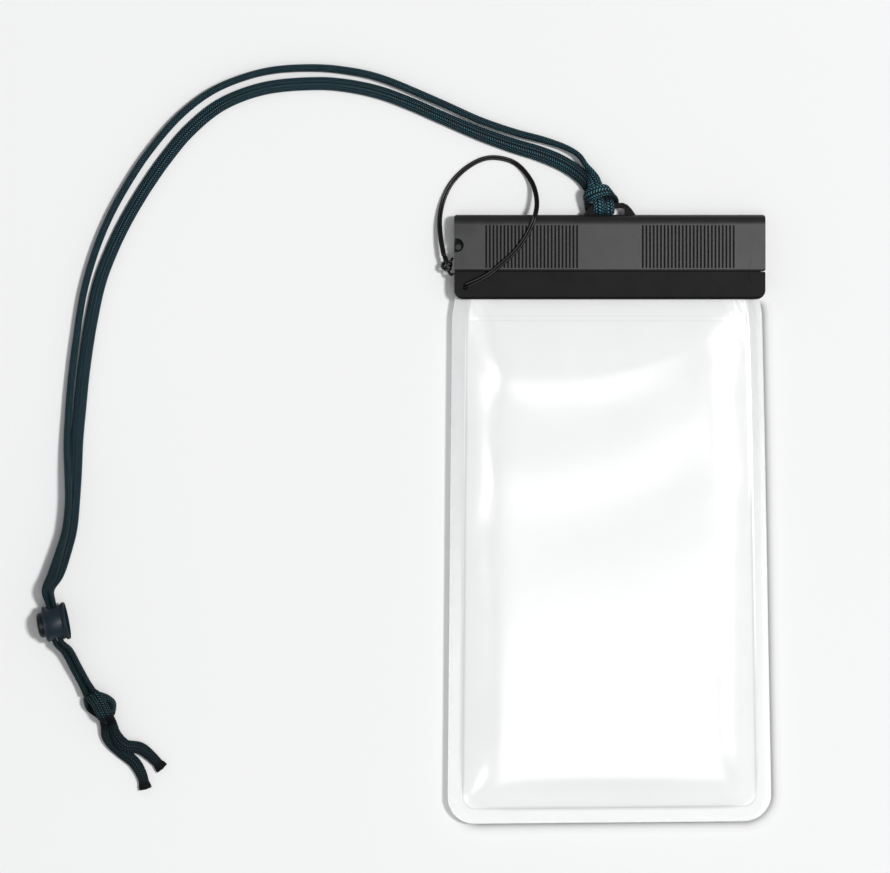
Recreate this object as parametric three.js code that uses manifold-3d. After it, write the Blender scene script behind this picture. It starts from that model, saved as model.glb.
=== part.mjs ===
// Waterproof phone pouch: two welded films, a two-jaw collar, a slider bar that clamps the jaws, a tether,
// and a braided lanyard with a push-button cord lock. Millimetres, +Z up, +Y towards the head, +X right.
// The origin is under the middle of the pouch and its head, on the surface it lies on.
import * as THREE from 'three';
import { mergeVertices } from 'three/addons/utils/BufferGeometryUtils.js';
import Module from 'manifold-3d';

const wasm = await Module();
wasm.setup();

// Clearances
const fit = 0.3; // between pieces that touch
const jawGap = 0.5; // between the two closed jaws, taken up by the seal

// Slider bar
const sliderLength = 115;
const sliderDepth = 20.8;
const sliderThickness = 9;
const sliderWall = 1.5; // front and back wall
const sliderTopWall = 2;
const sliderEndWall = 1.5; // closed right end
const lipDepth = 2.1;
const lipReach = 1; // how far each lip closes the mouth of the channel
const noseDepth = 3.7; // rounded top edge, along Y
const noseRise = 3; // rounded top edge, along Z
const sliderEdge = 0.5; // chamfer along the mouth
const planCorner = 1.1;

// Grip grooves, a field on each side of a plain centre, on both faces
const grooveCount = 26;
const groovePitch = 1.343;
const grooveWidth = 0.68;
const grooveLength = 15.9;
const grooveCut = 0.4;
const grooveFromMouth = 0.9;
const plainCentre = 23.6;
const fieldLength = 21.9; // shallow blank field in the plain centre
const fieldWidth = 6.3;
const fieldCut = 0.15;
const fieldFromTop = 12.25; // slider's top edge to the field's middle

// Notch in the left end and the stud that rests in it
const notchRadius = 2.55;
const notchInset = 0.9; // notch centre from the left end
const notchFromTop = 11.4;
const mouthWidth = 3.1;
const mouthDrop = 0.85; // the mouth's middle lies lower than the notch centre
const studRadius = 1.1;
const studInset = 1.5;
const studDrop = 0.7;
const studHeight = 1.2;

// Alignment triangles
const triangleWidth = 2.2;
const triangleHeight = 4;
const triangleCut = 0.2;
const triangleInset = 6; // from the right end
const triangleFromEdge = 0.7;

// Eyelet arch on the slider's top edge
const eyeletHeight = 4.4;
const eyeletFoot = 19.2;
const eyeletCrown = 10;
const eyeletBar = 1.9;
const eyeletGapWidth = 11.2;
const eyeletThickness = 3.6;

// Collar jaws
const headGap = 0.4; // slider mouth to collar
const collarDepth = 10.1;
const collarThickness = 7.8; // both jaws
const collarCorner = 3.3;
const collarEdge = 0.9; // chamfer along the lower edge
const railDepth = 14.4;
const pocketDepth = 2.8; // slot in the jaw that holds the film
const pocketHalf = 1.2;
const tetherHoleRadius = 0.9;
const tetherHoleInset = 4;
const tetherHoleDrop = 5.9; // from the collar's top edge

// Seal
const sealWidth = 2.4;
const sealThickness = 1.6;
const sealFromTop = 7.2; // from the rail's top edge

// Films
const filmVisible = 194.3; // collar to bottom edge
const filmThickness = 0.45;
const weldWidth = 5.2;
const weldCorner = 10;
const bulgeSlope = 13; // run of the slope from the weld to the flat
const bottomSkew = 1.1; // the bottom edge is that much higher at the right
const filmGap = 0.3; // between the two films along the weld
const edgeLeft = [[0, 57.3], [6, 58.3], [67, 58.9], [182, 59.9], [200, 59.9]]; // below the collar, half width
const edgeRight = [[0, 55.6], [5, 56.5], [45, 57.4], [141, 59.1], [184, 59.9], [200, 59.9]];

// Cord lock
const lockLength = 8.6;
const lockRing = 6.65;
const lockWaist = 5.75;
const lockFlange = 6.95;
const lockEndWall = 1;
const lockTurn = 11; // degrees from +X
const lockHole = 4.4;
const lockHoleHeight = 5;
const plungerRadius = 4.65;
const plungerTravel = 1.4;
const plungerProud = 2.5;
const plungerBar = 0.7; // material between the plunger's hole and its inner end
const springWire = 0.35;
const springRadius = 3.6;
const springTurns = 2;

// Cords
const braid = 3.4; // round stand-in for the flat braid
const tetherCord = 1;
const hitchWrap = 3.6;
const hitchThickness = 1.7;

// What follows from the sizes above
const mid = sliderThickness / 2;
const total = filmVisible + collarDepth + headGap + sliderDepth + eyeletHeight;
const filmBottom = -total / 2;
const collarBottom = filmBottom + filmVisible;
const collarTop = collarBottom + collarDepth;
const sliderMouth = collarTop + headGap;
const sliderTop = sliderMouth + sliderDepth;
const sliderLeft = -sliderLength / 2;
const sliderRight = sliderLength / 2;
const channelHalf = mid - sliderWall;
const channelTop = sliderTop - sliderTopWall;
const lipTop = sliderMouth + lipDepth;
const mouthHalf = channelHalf - lipReach;
const railBottom = lipTop + fit;
const railTop = railBottom + railDepth;
const railHalf = channelHalf - fit;
const neckHalf = mouthHalf - fit;
const railLeft = sliderLeft + fit;
const railRight = sliderRight - sliderEndWall - fit;
const skirtHalf = collarThickness / 2;
const sealY = railTop - sealFromTop;

const group = new THREE.Group();

const finish = {
  film: { color: 0xe9eef0, roughness: 0.12, metalness: 0, transparent: true, opacity: 0.35 },
  jaw: { color: 0x262626, roughness: 0.45, metalness: 0 },
  slider: { color: 0x505052, roughness: 0.5, metalness: 0 },
  seal: { color: 0x8a8f92, roughness: 0.7, metalness: 0 },
  cord: { color: 0x111213, roughness: 0.35, metalness: 0 },
  braid: { color: 0x1e3d49, roughness: 0.9, metalness: 0 },
  lock: { color: 0x1c2a33, roughness: 0.35, metalness: 0 },
  button: { color: 0x16191c, roughness: 0.35, metalness: 0 },
  spring: { color: 0xb8babc, roughness: 0.3, metalness: 1 },
};

function add(name, geometry, look) {
  const mesh = new THREE.Mesh(geometry, new THREE.MeshStandardMaterial(finish[look]));
  mesh.name = name;
  group.add(mesh);
  return mesh;
}

// A closed mesh as a solid, and back
function solid(geometry) {
  const g = geometry.index ? geometry.toNonIndexed() : geometry.clone();
  g.deleteAttribute('normal');
  g.deleteAttribute('uv');
  const merged = mergeVertices(g, 1e-4);
  return new wasm.Manifold(new wasm.Mesh({
    numProp: 3,
    vertProperties: merged.attributes.position.array,
    triVerts: new Uint32Array(merged.index.array),
  }));
}

function geometryOf(body) {
  const m = body.getMesh();
  const g = new THREE.BufferGeometry();
  g.setAttribute('position', new THREE.BufferAttribute(new Float32Array(m.vertProperties), 3));
  g.setIndex(new THREE.BufferAttribute(new Uint32Array(m.triVerts), 1));
  const flat = g.toNonIndexed();
  flat.computeVertexNormals();
  return flat;
}

const shapeOf = (points) => new THREE.Shape(points.map(([x, y]) => new THREE.Vector2(x, y)));

// Outline in X and Y, from z0 up to z1
function plate(shape, z0, z1, curveSegments = 6) {
  const g = new THREE.ExtrudeGeometry(shape, { depth: z1 - z0, bevelEnabled: false, curveSegments });
  return g.translate(0, 0, z0);
}

// Section in Y and Z, from x0 to x1
function bar(points, x0, x1) {
  const g = new THREE.ExtrudeGeometry(shapeOf(points), { depth: x1 - x0, bevelEnabled: false });
  return g.applyMatrix4(new THREE.Matrix4().set(0, 0, 1, x0, 1, 0, 0, 0, 0, 1, 0, 0, 0, 0, 0, 1));
}

// Rectangle in X and Y with its own radius at the low and at the high corners
function roundedPlan(x0, y0, x1, y1, low, high) {
  const s = new THREE.Shape();
  s.moveTo(x0 + low, y0);
  s.lineTo(x1 - low, y0);
  s.absarc(x1 - low, y0 + low, low, -Math.PI / 2, 0, false);
  s.lineTo(x1, y1 - high);
  s.absarc(x1 - high, y1 - high, high, 0, Math.PI / 2, false);
  s.lineTo(x0 + high, y1);
  s.absarc(x0 + high, y1 - high, high, Math.PI / 2, Math.PI, false);
  s.lineTo(x0, y0 + low);
  s.absarc(x0 + low, y0 + low, low, Math.PI, 1.5 * Math.PI, false);
  return s;
}

// Slider bar
function sliderSection() {
  const points = [[sliderMouth, mid - sliderEdge], [sliderMouth, -mid + sliderEdge], [sliderMouth + sliderEdge, -mid]];
  const steps = 5;
  const flat = mid - noseRise;
  const start = sliderTop - noseDepth;
  const arc = [];
  for (let i = 0; i <= steps; i += 1) {
    const a = (i / steps) * (Math.PI / 2);
    arc.push([start + noseDepth * Math.sin(a), flat + noseRise * Math.cos(a)]);
  }
  for (const [y, z] of arc) points.push([y, -z]);
  for (const [y, z] of arc.slice().reverse()) points.push([y, z]);
  points.push([sliderMouth + sliderEdge, mid]);
  return points.map(([y, z]) => [y, z + mid]);
}

function mirrorZ(body) {
  return body.mirror([0, 0, 1]).translate([0, 0, 2 * mid]);
}

function triangleAt(tipY, baseY) {
  const x = sliderRight - triangleInset;
  const p = [[x - triangleWidth / 2, baseY], [x + triangleWidth / 2, baseY], [x, tipY]];
  return shapeOf(tipY > baseY ? p : [p[0], p[2], p[1]]);
}

function slider() {
  let body = solid(bar(sliderSection(), sliderLeft, sliderRight));
  const plan = roundedPlan(sliderLeft, sliderMouth, sliderRight, sliderTop, 0.4, planCorner);
  body = body.intersect(solid(plate(plan, -1, sliderThickness + 1, 3)));

  const channel = [
    [sliderMouth - 1, mid - mouthHalf], [lipTop, mid - mouthHalf], [lipTop, mid - channelHalf],
    [channelTop, mid - channelHalf], [channelTop, mid + channelHalf], [lipTop, mid + channelHalf],
    [lipTop, mid + mouthHalf], [sliderMouth - 1, mid + mouthHalf],
  ].reverse();
  body = body.subtract(solid(bar(channel, sliderLeft - 1, sliderRight - sliderEndWall)));

  const grooveLow = sliderMouth + grooveFromMouth;
  for (const side of [-1, 1]) {
    for (let i = 0; i < grooveCount; i += 1) {
      const x = side * (plainCentre / 2 + grooveWidth / 2 + i * groovePitch);
      const h = grooveWidth / 2;
      const end = grooveWidth * 0.3; // the lower end is rounded off
      const shape = shapeOf([[x - h, grooveLow + end], [x - h + end, grooveLow], [x + h - end, grooveLow],
        [x + h, grooveLow + end], [x + h, grooveLow + grooveLength], [x - h, grooveLow + grooveLength]]);
      const cut = solid(plate(shape, sliderThickness - grooveCut, sliderThickness + 1, 2));
      body = body.subtract(cut).subtract(mirrorZ(cut));
    }
  }

  const fieldY = sliderTop - fieldFromTop;
  const field = roundedPlan(-fieldLength / 2, fieldY - fieldWidth / 2, fieldLength / 2, fieldY + fieldWidth / 2, 0.5, 0.5);
  body = body.subtract(solid(plate(field, sliderThickness - fieldCut, sliderThickness + 1, 2)));

  const notchX = sliderLeft + notchInset;
  const notchY = sliderTop - notchFromTop;
  const notch = new THREE.Shape().absarc(notchX, notchY, notchRadius, 0, Math.PI * 2, false);
  const mouth = roundedPlan(sliderLeft - 1, notchY - mouthDrop - mouthWidth / 2, notchX,
    notchY - mouthDrop + mouthWidth / 2, 0.1, 0.1);
  // The circle is kept behind the left edge, so that its mouth is narrower than the notch
  const keep = roundedPlan(sliderLeft + fit, notchY - notchRadius - 1, notchX + notchRadius + 1,
    notchY + notchRadius + 1, 0.1, 0.1);
  const front = mid + channelHalf - 0.5;
  const hole = solid(plate(notch, front, sliderThickness + 1, 20)).intersect(solid(plate(keep, front - 1,
    sliderThickness + 2, 2)));
  body = body.subtract(hole).subtract(solid(plate(mouth, front, sliderThickness + 1, 2)));

  const tip = sliderMouth + triangleFromEdge;
  body = body.subtract(solid(plate(triangleAt(tip, tip + triangleHeight), sliderThickness - triangleCut,
    sliderThickness + 1)));

  return body.add(eyelet());
}

function eyelet() {
  const foot = sliderTop - noseDepth / 2;
  const top = sliderTop + eyeletHeight;
  const shoulder = (eyeletFoot - eyeletCrown) / 2;
  const arch = shapeOf([
    [-eyeletFoot / 2, foot], [eyeletFoot / 2, foot], [eyeletFoot / 2, sliderTop],
    [eyeletFoot / 2 - shoulder * 0.3, sliderTop + eyeletHeight * 0.45],
    [eyeletFoot / 2 - shoulder * 0.65, sliderTop + eyeletHeight * 0.83], [eyeletCrown / 2, top],
    [-eyeletCrown / 2, top], [-eyeletFoot / 2 + shoulder * 0.65, sliderTop + eyeletHeight * 0.83],
    [-eyeletFoot / 2 + shoulder * 0.3, sliderTop + eyeletHeight * 0.45], [-eyeletFoot / 2, sliderTop],
  ]);
  const z0 = mid - eyeletThickness / 2;
  const z1 = mid + eyeletThickness / 2;
  const gap = roundedPlan(-eyeletGapWidth / 2, sliderTop, eyeletGapWidth / 2, top - eyeletBar, 0.2, 0.9);
  // The arch's feet reach into the top wall and stop short of the channel
  const feet = solid(plate(arch, z0, z1)).subtract(solid(plate(gap, z0 - 1, z1 + 1, 4)));
  return feet;
}

// Collar jaws, the front one above the middle plane
function jaw(isFront) {
  const half = jawGap / 2;
  const pocketTop = collarBottom + pocketDepth;
  const skirt = [
    [collarTop, half], [collarTop, skirtHalf], [collarBottom + collarEdge, skirtHalf],
    [collarBottom, skirtHalf - collarEdge], [collarBottom, pocketHalf], [pocketTop, pocketHalf], [pocketTop, half],
  ].map(([y, z]) => [y, z + mid]);
  const rail = [
    [collarTop - 1, half], [railTop, half], [railTop, railHalf], [railBottom, railHalf], [railBottom, neckHalf],
    [collarTop - 1, neckHalf],
  ].map(([y, z]) => [y, z + mid]);
  const plan = roundedPlan(sliderLeft, collarBottom, sliderRight, collarTop, collarCorner, 0.5);
  let body = solid(bar(skirt, sliderLeft, sliderRight)).intersect(solid(plate(plan, -1, sliderThickness + 1, 5)));
  body = body.add(solid(bar(rail, railLeft, railRight)));

  const seat = [
    [sealY - sealWidth / 2 - fit, mid - 1], [sealY + sealWidth / 2 + fit, mid - 1],
    [sealY + sealWidth / 2 + fit, mid + sealThickness / 2 + fit],
    [sealY - sealWidth / 2 - fit, mid + sealThickness / 2 + fit],
  ];
  body = body.subtract(solid(bar(seat, railLeft - 1, railRight + 1)));

  const hole = new THREE.Shape().absarc(sliderLeft + tetherHoleInset, collarTop - tetherHoleDrop, tetherHoleRadius,
    0, Math.PI * 2, false);
  body = body.subtract(solid(plate(hole, mid - 1, sliderThickness + 1, 12)));

  if (!isFront) return mirrorZ(body);
  const tip = collarTop - triangleFromEdge;
  body = body.subtract(solid(plate(triangleAt(tip, tip - triangleHeight), mid + skirtHalf - triangleCut,
    sliderThickness + 1)));
  const stud = new THREE.Shape().absarc(sliderLeft + studInset, sliderTop - notchFromTop - studDrop, studRadius,
    0, Math.PI * 2, false);
  return body.add(solid(plate(stud, mid + railHalf - 0.5, mid + railHalf + studHeight, 12)));
}

function seal() {
  const h = sealThickness / 2;
  const w = sealWidth / 2;
  const c = 0.4;
  const section = [
    [sealY - w, -h + c], [sealY - w + c, -h], [sealY + w - c, -h], [sealY + w, -h + c],
    [sealY + w, h - c], [sealY + w - c, h], [sealY - w + c, h], [sealY - w, h - c],
  ].map(([y, z]) => [y, z + mid]);
  return bar(section, railLeft + fit, railRight - fit);
}

// Films: closed rings from the outer edge over the weld and the slope to the flat, as a thin shell
function along(list, d) {
  for (let i = 1; i < list.length; i += 1) {
    if (d <= list[i][0]) {
      const t = (d - list[i - 1][0]) / (list[i][0] - list[i - 1][0]);
      return list[i - 1][1] + t * (list[i][1] - list[i - 1][1]);
    }
  }
  return list[list.length - 1][1];
}

function filmRing(inset, topY, low, high) {
  const left = (y) => -along(edgeLeft, Math.max(0, collarBottom - y)) + inset;
  const right = (y) => along(edgeRight, Math.max(0, collarBottom - y)) - inset;
  const bottom = (x) => filmBottom + inset + (bottomSkew * (x - left(filmBottom))) / (right(0) - left(0));
  const yl = bottom(left(filmBottom));
  const yr = bottom(right(filmBottom));
  const ring = [];
  const side = 9;
  const turn = 5;
  for (let i = 0; i < side; i += 1) {
    const y = topY - high + ((yl + low - (topY - high)) * i) / side;
    ring.push([left(y), y]);
  }
  for (let i = 0; i < turn; i += 1) {
    const a = Math.PI + (i / turn) * (Math.PI / 2);
    ring.push([left(yl + low) + low + low * Math.cos(a), yl + low + low * Math.sin(a)]);
  }
  for (let i = 0; i < side; i += 1) {
    const x0 = left(yl + low) + low;
    const x1 = right(yr + low) - low;
    const x = x0 + ((x1 - x0) * i) / side;
    ring.push([x, yl + ((yr - yl) * i) / side]);
  }
  for (let i = 0; i < turn; i += 1) {
    const a = -Math.PI / 2 + (i / turn) * (Math.PI / 2);
    ring.push([right(yr + low) - low + low * Math.cos(a), yr + low + low * Math.sin(a)]);
  }
  for (let i = 0; i < side; i += 1) {
    const y = yr + low + ((topY - high - (yr + low)) * i) / side;
    ring.push([right(y), y]);
  }
  for (let i = 0; i < turn; i += 1) {
    const a = (i / turn) * (Math.PI / 2);
    ring.push([right(topY - high) - high + high * Math.cos(a), topY - high + high * Math.sin(a)]);
  }
  for (let i = 0; i < side; i += 1) {
    const x0 = right(topY - high) - high;
    const x1 = left(topY - high) + high;
    ring.push([x0 + ((x1 - x0) * i) / side, topY]);
  }
  for (let i = 0; i < turn; i += 1) {
    const a = Math.PI / 2 + (i / turn) * (Math.PI / 2);
    ring.push([left(topY - high) + high + high * Math.cos(a), topY - high + high * Math.sin(a)]);
  }
  return ring;
}

function film(isFront) {
  const low = filmGap / 2;
  const high = mid - filmThickness;
  const tuck = pocketDepth - fit;
  const rings = [
    [filmRing(0, collarBottom + tuck, weldCorner, 0.5), low],
    [filmRing(weldWidth, collarBottom - fit, weldCorner - weldWidth + 0.8, 0.6), low],
  ];
  for (const [run, rise, corner] of [[0.17, 0.3, 6], [0.38, 0.62, 7.5], [0.65, 0.88, 9], [1, 1, 11]]) {
    rings.push([filmRing(weldWidth + run * bulgeSlope, collarBottom - fit - run * bulgeSlope, corner, corner * run),
      low + rise * (high - low)]);
  }
  const n = rings[0][0].length;
  const verts = [];
  for (const [ring, h] of rings) for (const [x, y] of ring) verts.push(x, y, mid + h + filmThickness);
  for (const [ring, h] of rings) for (const [x, y] of ring) verts.push(x, y, mid + h);
  const tris = [];
  const under = rings.length * n;
  const quad = (a, b, c, d) => tris.push(a, b, c, a, c, d);
  for (let k = 0; k + 1 < rings.length; k += 1) {
    for (let i = 0; i < n; i += 1) {
      const j = (i + 1) % n;
      quad(k * n + i, k * n + j, (k + 1) * n + j, (k + 1) * n + i);
      quad(under + (k + 1) * n + i, under + (k + 1) * n + j, under + k * n + j, under + k * n + i);
    }
  }
  for (let i = 0; i < n; i += 1) {
    const j = (i + 1) % n;
    quad(under + i, under + j, j, i);
  }
  const last = rings[rings.length - 1][0];
  const cap = THREE.ShapeUtils.triangulateShape(last.map(([x, y]) => new THREE.Vector2(x, y)), []);
  const base = (rings.length - 1) * n;
  for (const [a, b, c] of cap) {
    tris.push(base + a, base + b, base + c);
    tris.push(under + base + a, under + base + c, under + base + b);
  }
  const g = new THREE.BufferGeometry();
  g.setAttribute('position', new THREE.Float32BufferAttribute(verts, 3));
  g.setIndex(tris);
  const body = solid(g);
  return geometryOf(isFront ? body : mirrorZ(body));
}

// Cords
function tube(points, radius, steps, sides = 8) {
  const section = new THREE.Shape();
  for (let i = 0; i < sides; i += 1) {
    const a = ((i + 0.5) / sides) * Math.PI * 2;
    if (i === 0) section.moveTo(radius * Math.cos(a), radius * Math.sin(a));
    else section.lineTo(radius * Math.cos(a), radius * Math.sin(a));
  }
  section.closePath();
  const path = new THREE.CatmullRomCurve3(points.map((p) => new THREE.Vector3(...p)), false, 'centripetal');
  const g = new THREE.ExtrudeGeometry(section, { steps, bevelEnabled: false, extrudePath: path });
  g.deleteAttribute('normal');
  g.deleteAttribute('uv');
  const body = mergeVertices(g, 1e-4);
  return body;
}

const rest = braid / 2 + 0.05; // height of a strand's middle on the surface
const over = rest + braid + fit; // height of one that crosses another
const lockX = -205.4;
const lockY = -40.4;
const lockZ = lockFlange + 0.02;
const turn = (lockTurn * Math.PI) / 180;
// A point given along the lock's axis, across it towards the head, and up
const atLock = (s, n, z) => [
  lockX + s * Math.cos(turn) - n * Math.sin(turn),
  lockY + s * Math.sin(turn) + n * Math.cos(turn),
  z,
];
const pair = (braid + fit) / 2;
const lockReach = lockFlange + fit;

const strandOuter = [
  [-7.4, 122.3, mid], [-10.3, 128.5, 3.4], [-15.6, 133.6, rest], [-22.4, 136.9, rest], [-34.6, 140.7, rest],
  [-48, 145.9, rest], [-62.8, 152.4, rest], [-85.7, 161.7, rest], [-98, 164.3, rest], [-108.7, 165, rest],
  [-124.3, 164.3, rest], [-136.1, 161.3, rest], [-147.8, 156.3, rest], [-159.4, 147.7, rest],
  [-171.3, 133.3, rest], [-179.1, 121.7, rest], [-185.2, 109.8, rest], [-190.7, 97.4, rest],
  [-195.3, 83.5, rest], [-198.1, 68, rest], [-200.2, 53.1, rest], [-201, 38.3, rest + 0.2],
  [-201, 27.2, rest + 1.6], [-200.2, 16.1, over - 0.2], [-198.5, 5, over + 0.3], [-199.8, -6.1, over + 0.3],
  [-203.3, -13.5, over + 0.3], [-207, -20.5, over + 0.6], atLock(-pair, lockReach + 5, lockZ - 0.3),
  atLock(-pair, lockReach, lockZ),
];
const strandInner = [
  [-11.3, 121.2, mid], [-15, 125.6, 2.6], [-20, 128.9, rest], [-26, 131.8, rest], [-36, 135.6, rest],
  [-48, 140.2, rest], [-62.8, 146.6, rest], [-74.3, 151.8, rest], [-85.7, 155.9, rest], [-98, 158.6, rest],
  [-108.8, 159.4, rest], [-128.3, 157, rest], [-143.9, 151.2, rest], [-155.6, 142.6, rest],
  [-163.4, 134.1, rest], [-171.2, 122.4, rest], [-179, 108.3, rest], [-184.4, 97.4, rest],
  [-189.1, 85.7, rest], [-192.2, 70.2, rest], [-195, 53.1, rest], [-196.5, 38.3, rest], [-197, 27.2, rest],
  [-197.4, 16.1, rest], [-198.3, 5, rest], [-199, -6.1, rest], [-200.2, -13.5, rest + 0.3],
  [-202, -20.5, rest + 1.6], atLock(pair, lockReach + 5, lockZ - 0.6), atLock(pair, lockReach, lockZ),
];

// Knots are the closed outer shape of the tied cord
function knot(centre, size, degrees) {
  const g = new THREE.SphereGeometry(1, 14, 10);
  g.scale(size[0] / 2, size[1] / 2, size[2] / 2);
  g.rotateZ((degrees * Math.PI) / 180);
  g.translate(...centre);
  g.deleteAttribute('normal');
  g.deleteAttribute('uv');
  return geometryOf(solid(g));
}

// Two wraps round the eyelet's arch and the bight that crosses them
function hitch() {
  const archTop = sliderTop + eyeletHeight;
  const yIn = archTop - eyeletBar - fit;
  const yOut = archTop + fit;
  const zIn = eyeletThickness / 2 + fit;
  const t = hitchThickness;
  const outer = roundedPlan(yIn - t, -zIn - t, yOut + t, zIn + t, 1, 1.4);
  const inner = roundedPlan(yIn, -zIn, yOut, zIn, 0.2, 0.2);
  outer.holes.push(new THREE.Path(inner.getPoints(2).reverse()));
  const upright = (x) => {
    const g = new THREE.ExtrudeGeometry(outer, { depth: hitchWrap, bevelEnabled: false, curveSegments: 3 });
    g.applyMatrix4(new THREE.Matrix4().set(0, 0, 1, x, 1, 0, 0, 0, 0, 1, 0, mid, 0, 0, 0, 1));
    return solid(g);
  };
  // The bight crosses in front of the wraps, and its crown stands on the head side of the arch
  const lean = (-24 * Math.PI) / 180;
  const bight = plate(roundedPlan(-6, -1.9, 6, 1.9, 1.2, 1.2), zIn, zIn + t + 0.8, 3);
  bight.rotateZ(lean);
  bight.translate(-2.6, yOut + t + 1, mid);
  const crown = plate(roundedPlan(-3.6, -1.6, 3.6, 1.6, 1, 1), -zIn - t + 0.6, zIn + t, 3);
  crown.rotateZ(lean);
  crown.translate(-4.4, yOut + t + 2, mid);
  const first = upright(-eyeletGapWidth / 2 + fit);
  const second = upright(-eyeletGapWidth / 2 + fit + hitchWrap + fit);
  return geometryOf(first.add(second).add(solid(crown)).add(solid(bight)));
}

// Cord lock, drawn along its own axis and laid down
function lay(geometry) {
  geometry.rotateZ(-Math.PI / 2); // the lathe's axis Y becomes +X
  geometry.rotateZ(turn);
  return geometry.translate(lockX, lockY, lockZ);
}

const bodyStart = -3.7;
const bodyEnd = bodyStart + lockLength;

function crossHole(middle) {
  const hole = plate(roundedPlan(-lockHole / 2, -lockHoleHeight / 2, lockHole / 2, lockHoleHeight / 2, 1, 1), -12, 12, 3);
  hole.rotateX(Math.PI / 2);
  hole.translate(middle, 0, 0);
  hole.rotateZ(turn);
  return hole.translate(lockX, lockY, lockZ);
}

function lockBody() {
  const bore = plungerRadius + fit;
  const profile = [
    [0, bodyEnd - lockEndWall], [bore, bodyEnd - lockEndWall], [bore, bodyStart], [lockRing - 0.5, bodyStart],
    [lockRing, bodyStart + 0.5], [lockRing, bodyStart + 1.3], [lockWaist, bodyStart + 2], [lockWaist, bodyEnd - 2.5],
    [lockFlange - 0.1, bodyEnd - 1.9], [lockFlange, bodyEnd - 1.1], [lockFlange - 0.3, bodyEnd - 0.4],
    [lockFlange - 1, bodyEnd], [0, bodyEnd],
  ].map(([r, s]) => new THREE.Vector2(r, -s));
  const round = new THREE.LatheGeometry(profile.reverse(), 28);
  round.rotateX(Math.PI);
  return geometryOf(solid(lay(round)).subtract(solid(crossHole(0))));
}

const plungerFace = bodyStart - plungerProud;
const plungerEnd = -plungerTravel + lockHole / 2 + plungerBar;

function plunger() {
  const r = plungerRadius;
  const profile = [
    [0, plungerFace], [r - 1.1, plungerFace], [r - 0.3, plungerFace + 0.25], [r, plungerFace + 0.8],
    [r, plungerEnd], [0, plungerEnd],
  ].map(([x, s]) => new THREE.Vector2(x, s));
  const round = new THREE.LatheGeometry(profile, 24);
  return geometryOf(solid(lay(round)).subtract(solid(crossHole(-plungerTravel))));
}

// The spring is drawn at the length that it is pressed to, seated on the end wall
function spring() {
  const length = bodyEnd - lockEndWall - plungerEnd - plungerTravel - 2 * fit;
  const points = [];
  const count = springTurns * 10;
  const rise = (length - springWire) / count;
  for (let i = 0; i <= count; i += 1) {
    const a = (i / 10) * Math.PI * 2;
    const s = bodyEnd - lockEndWall - fit - springWire / 2 - i * rise;
    points.push(atLock(s, springRadius * Math.cos(a), lockZ + springRadius * Math.sin(a)));
  }
  return tube(points, springWire / 2, count, 6);
}

// Tether: from the hole in the collar over the slider bar and round to its left end
const onFace = sliderThickness + fit + tetherCord / 2;
const low = tetherCord / 2 + 0.05;
const tetherMiddle = [
  [-53.5, 84.2, mid + skirtHalf + fit + tetherCord / 2 + 0.3], [-45.4, 88.1, onFace], [-40.1, 92.3, onFace],
  [-34.7, 97.3, onFace], [-30.2, 104, onFace], [-27.7, 110, onFace - 0.2], [-27, 116.1, 6.5], [-29.1, 123.5, 2.2],
  [-34.6, 129.8, low], [-40.7, 131.9, low], [-46.5, 131.6, low], [-53, 128.2, low], [-58.6, 122.4, low + 0.3],
  [-61.7, 115.7, 1.6], [-62.9, 108.9, 2.8], [-62.5, 102, 4.2], [-61.3, 95.2, 5.4],
];
// Each strand runs beside the middle line
function beside(points, off) {
  return points.map((p, i) => {
    const a = points[Math.max(0, i - 1)];
    const b = points[Math.min(points.length - 1, i + 1)];
    const l = Math.hypot(b[0] - a[0], b[1] - a[1]);
    return [p[0] - (off * (b[1] - a[1])) / l, p[1] + (off * (b[0] - a[0])) / l, p[2]];
  });
}

add('film_front', film(true), 'film');
add('film_back', film(false), 'film');
add('collar_front', geometryOf(jaw(true)), 'jaw');
add('collar_back', geometryOf(jaw(false)), 'jaw');
add('seal_gasket', seal(), 'seal');
add('slider_bar', geometryOf(slider()), 'slider');
const apart = (tetherCord + fit) / 2;
add('tether_strand_outer', tube(beside(tetherMiddle, apart), tetherCord / 2, 24), 'cord');
add('tether_strand_inner', tube(beside(tetherMiddle, -apart), tetherCord / 2, 24), 'cord');
add('tether_knot', knot([-60.2, 92.1, 5.4], [4.2, 5, 3.4], 0), 'cord');
add('lanyard_hitch', hitch(), 'braid');
add('lanyard_strand_outer', tube(strandOuter, braid / 2, 40), 'braid');
add('lanyard_strand_inner', tube(strandInner, braid / 2, 40), 'braid');
add('cord_lock_body', lockBody(), 'lock');
add('cord_lock_plunger', plunger(), 'button');
add('cord_lock_spring', spring(), 'spring');
add('lanyard_lower_outer', tube([atLock(-pair, -lockReach, lockZ), atLock(-pair + 0.2, -lockReach - 4, lockZ - 1),
  [-199.9, -60.4, 4.7], [-194.7, -67.1, 4.2]], braid / 2, 5), 'braid');
add('lanyard_lower_inner', tube([atLock(pair, -lockReach, lockZ), atLock(pair + 0.2, -lockReach - 4, lockZ - 1),
  [-196.5, -58.8, 4.7], [-191.5, -65.2, 4.2]], braid / 2, 5), 'braid');
add('lanyard_end_knot', knot([-188.3, -70.9, 3.85], [11.9, 9.6, 7.6], -20), 'braid');
add('lanyard_tail_left', tube([[-189.4, -76.9, 2.6], [-188, -82, rest], [-184.3, -88, rest], [-178.8, -92.8, rest],
  [-174.8, -96.5, rest], [-172.2, -101.9, rest]], braid / 2, 6), 'braid');
add('lanyard_tail_right', tube([[-185.1, -75.6, 2.9], [-182.6, -81.2, rest], [-179.1, -85.8, rest],
  [-173.9, -88.6, rest], [-169.4, -91.2, rest], [-165.7, -94.6, rest]], braid / 2, 6), 'braid');

export default group;
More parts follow.
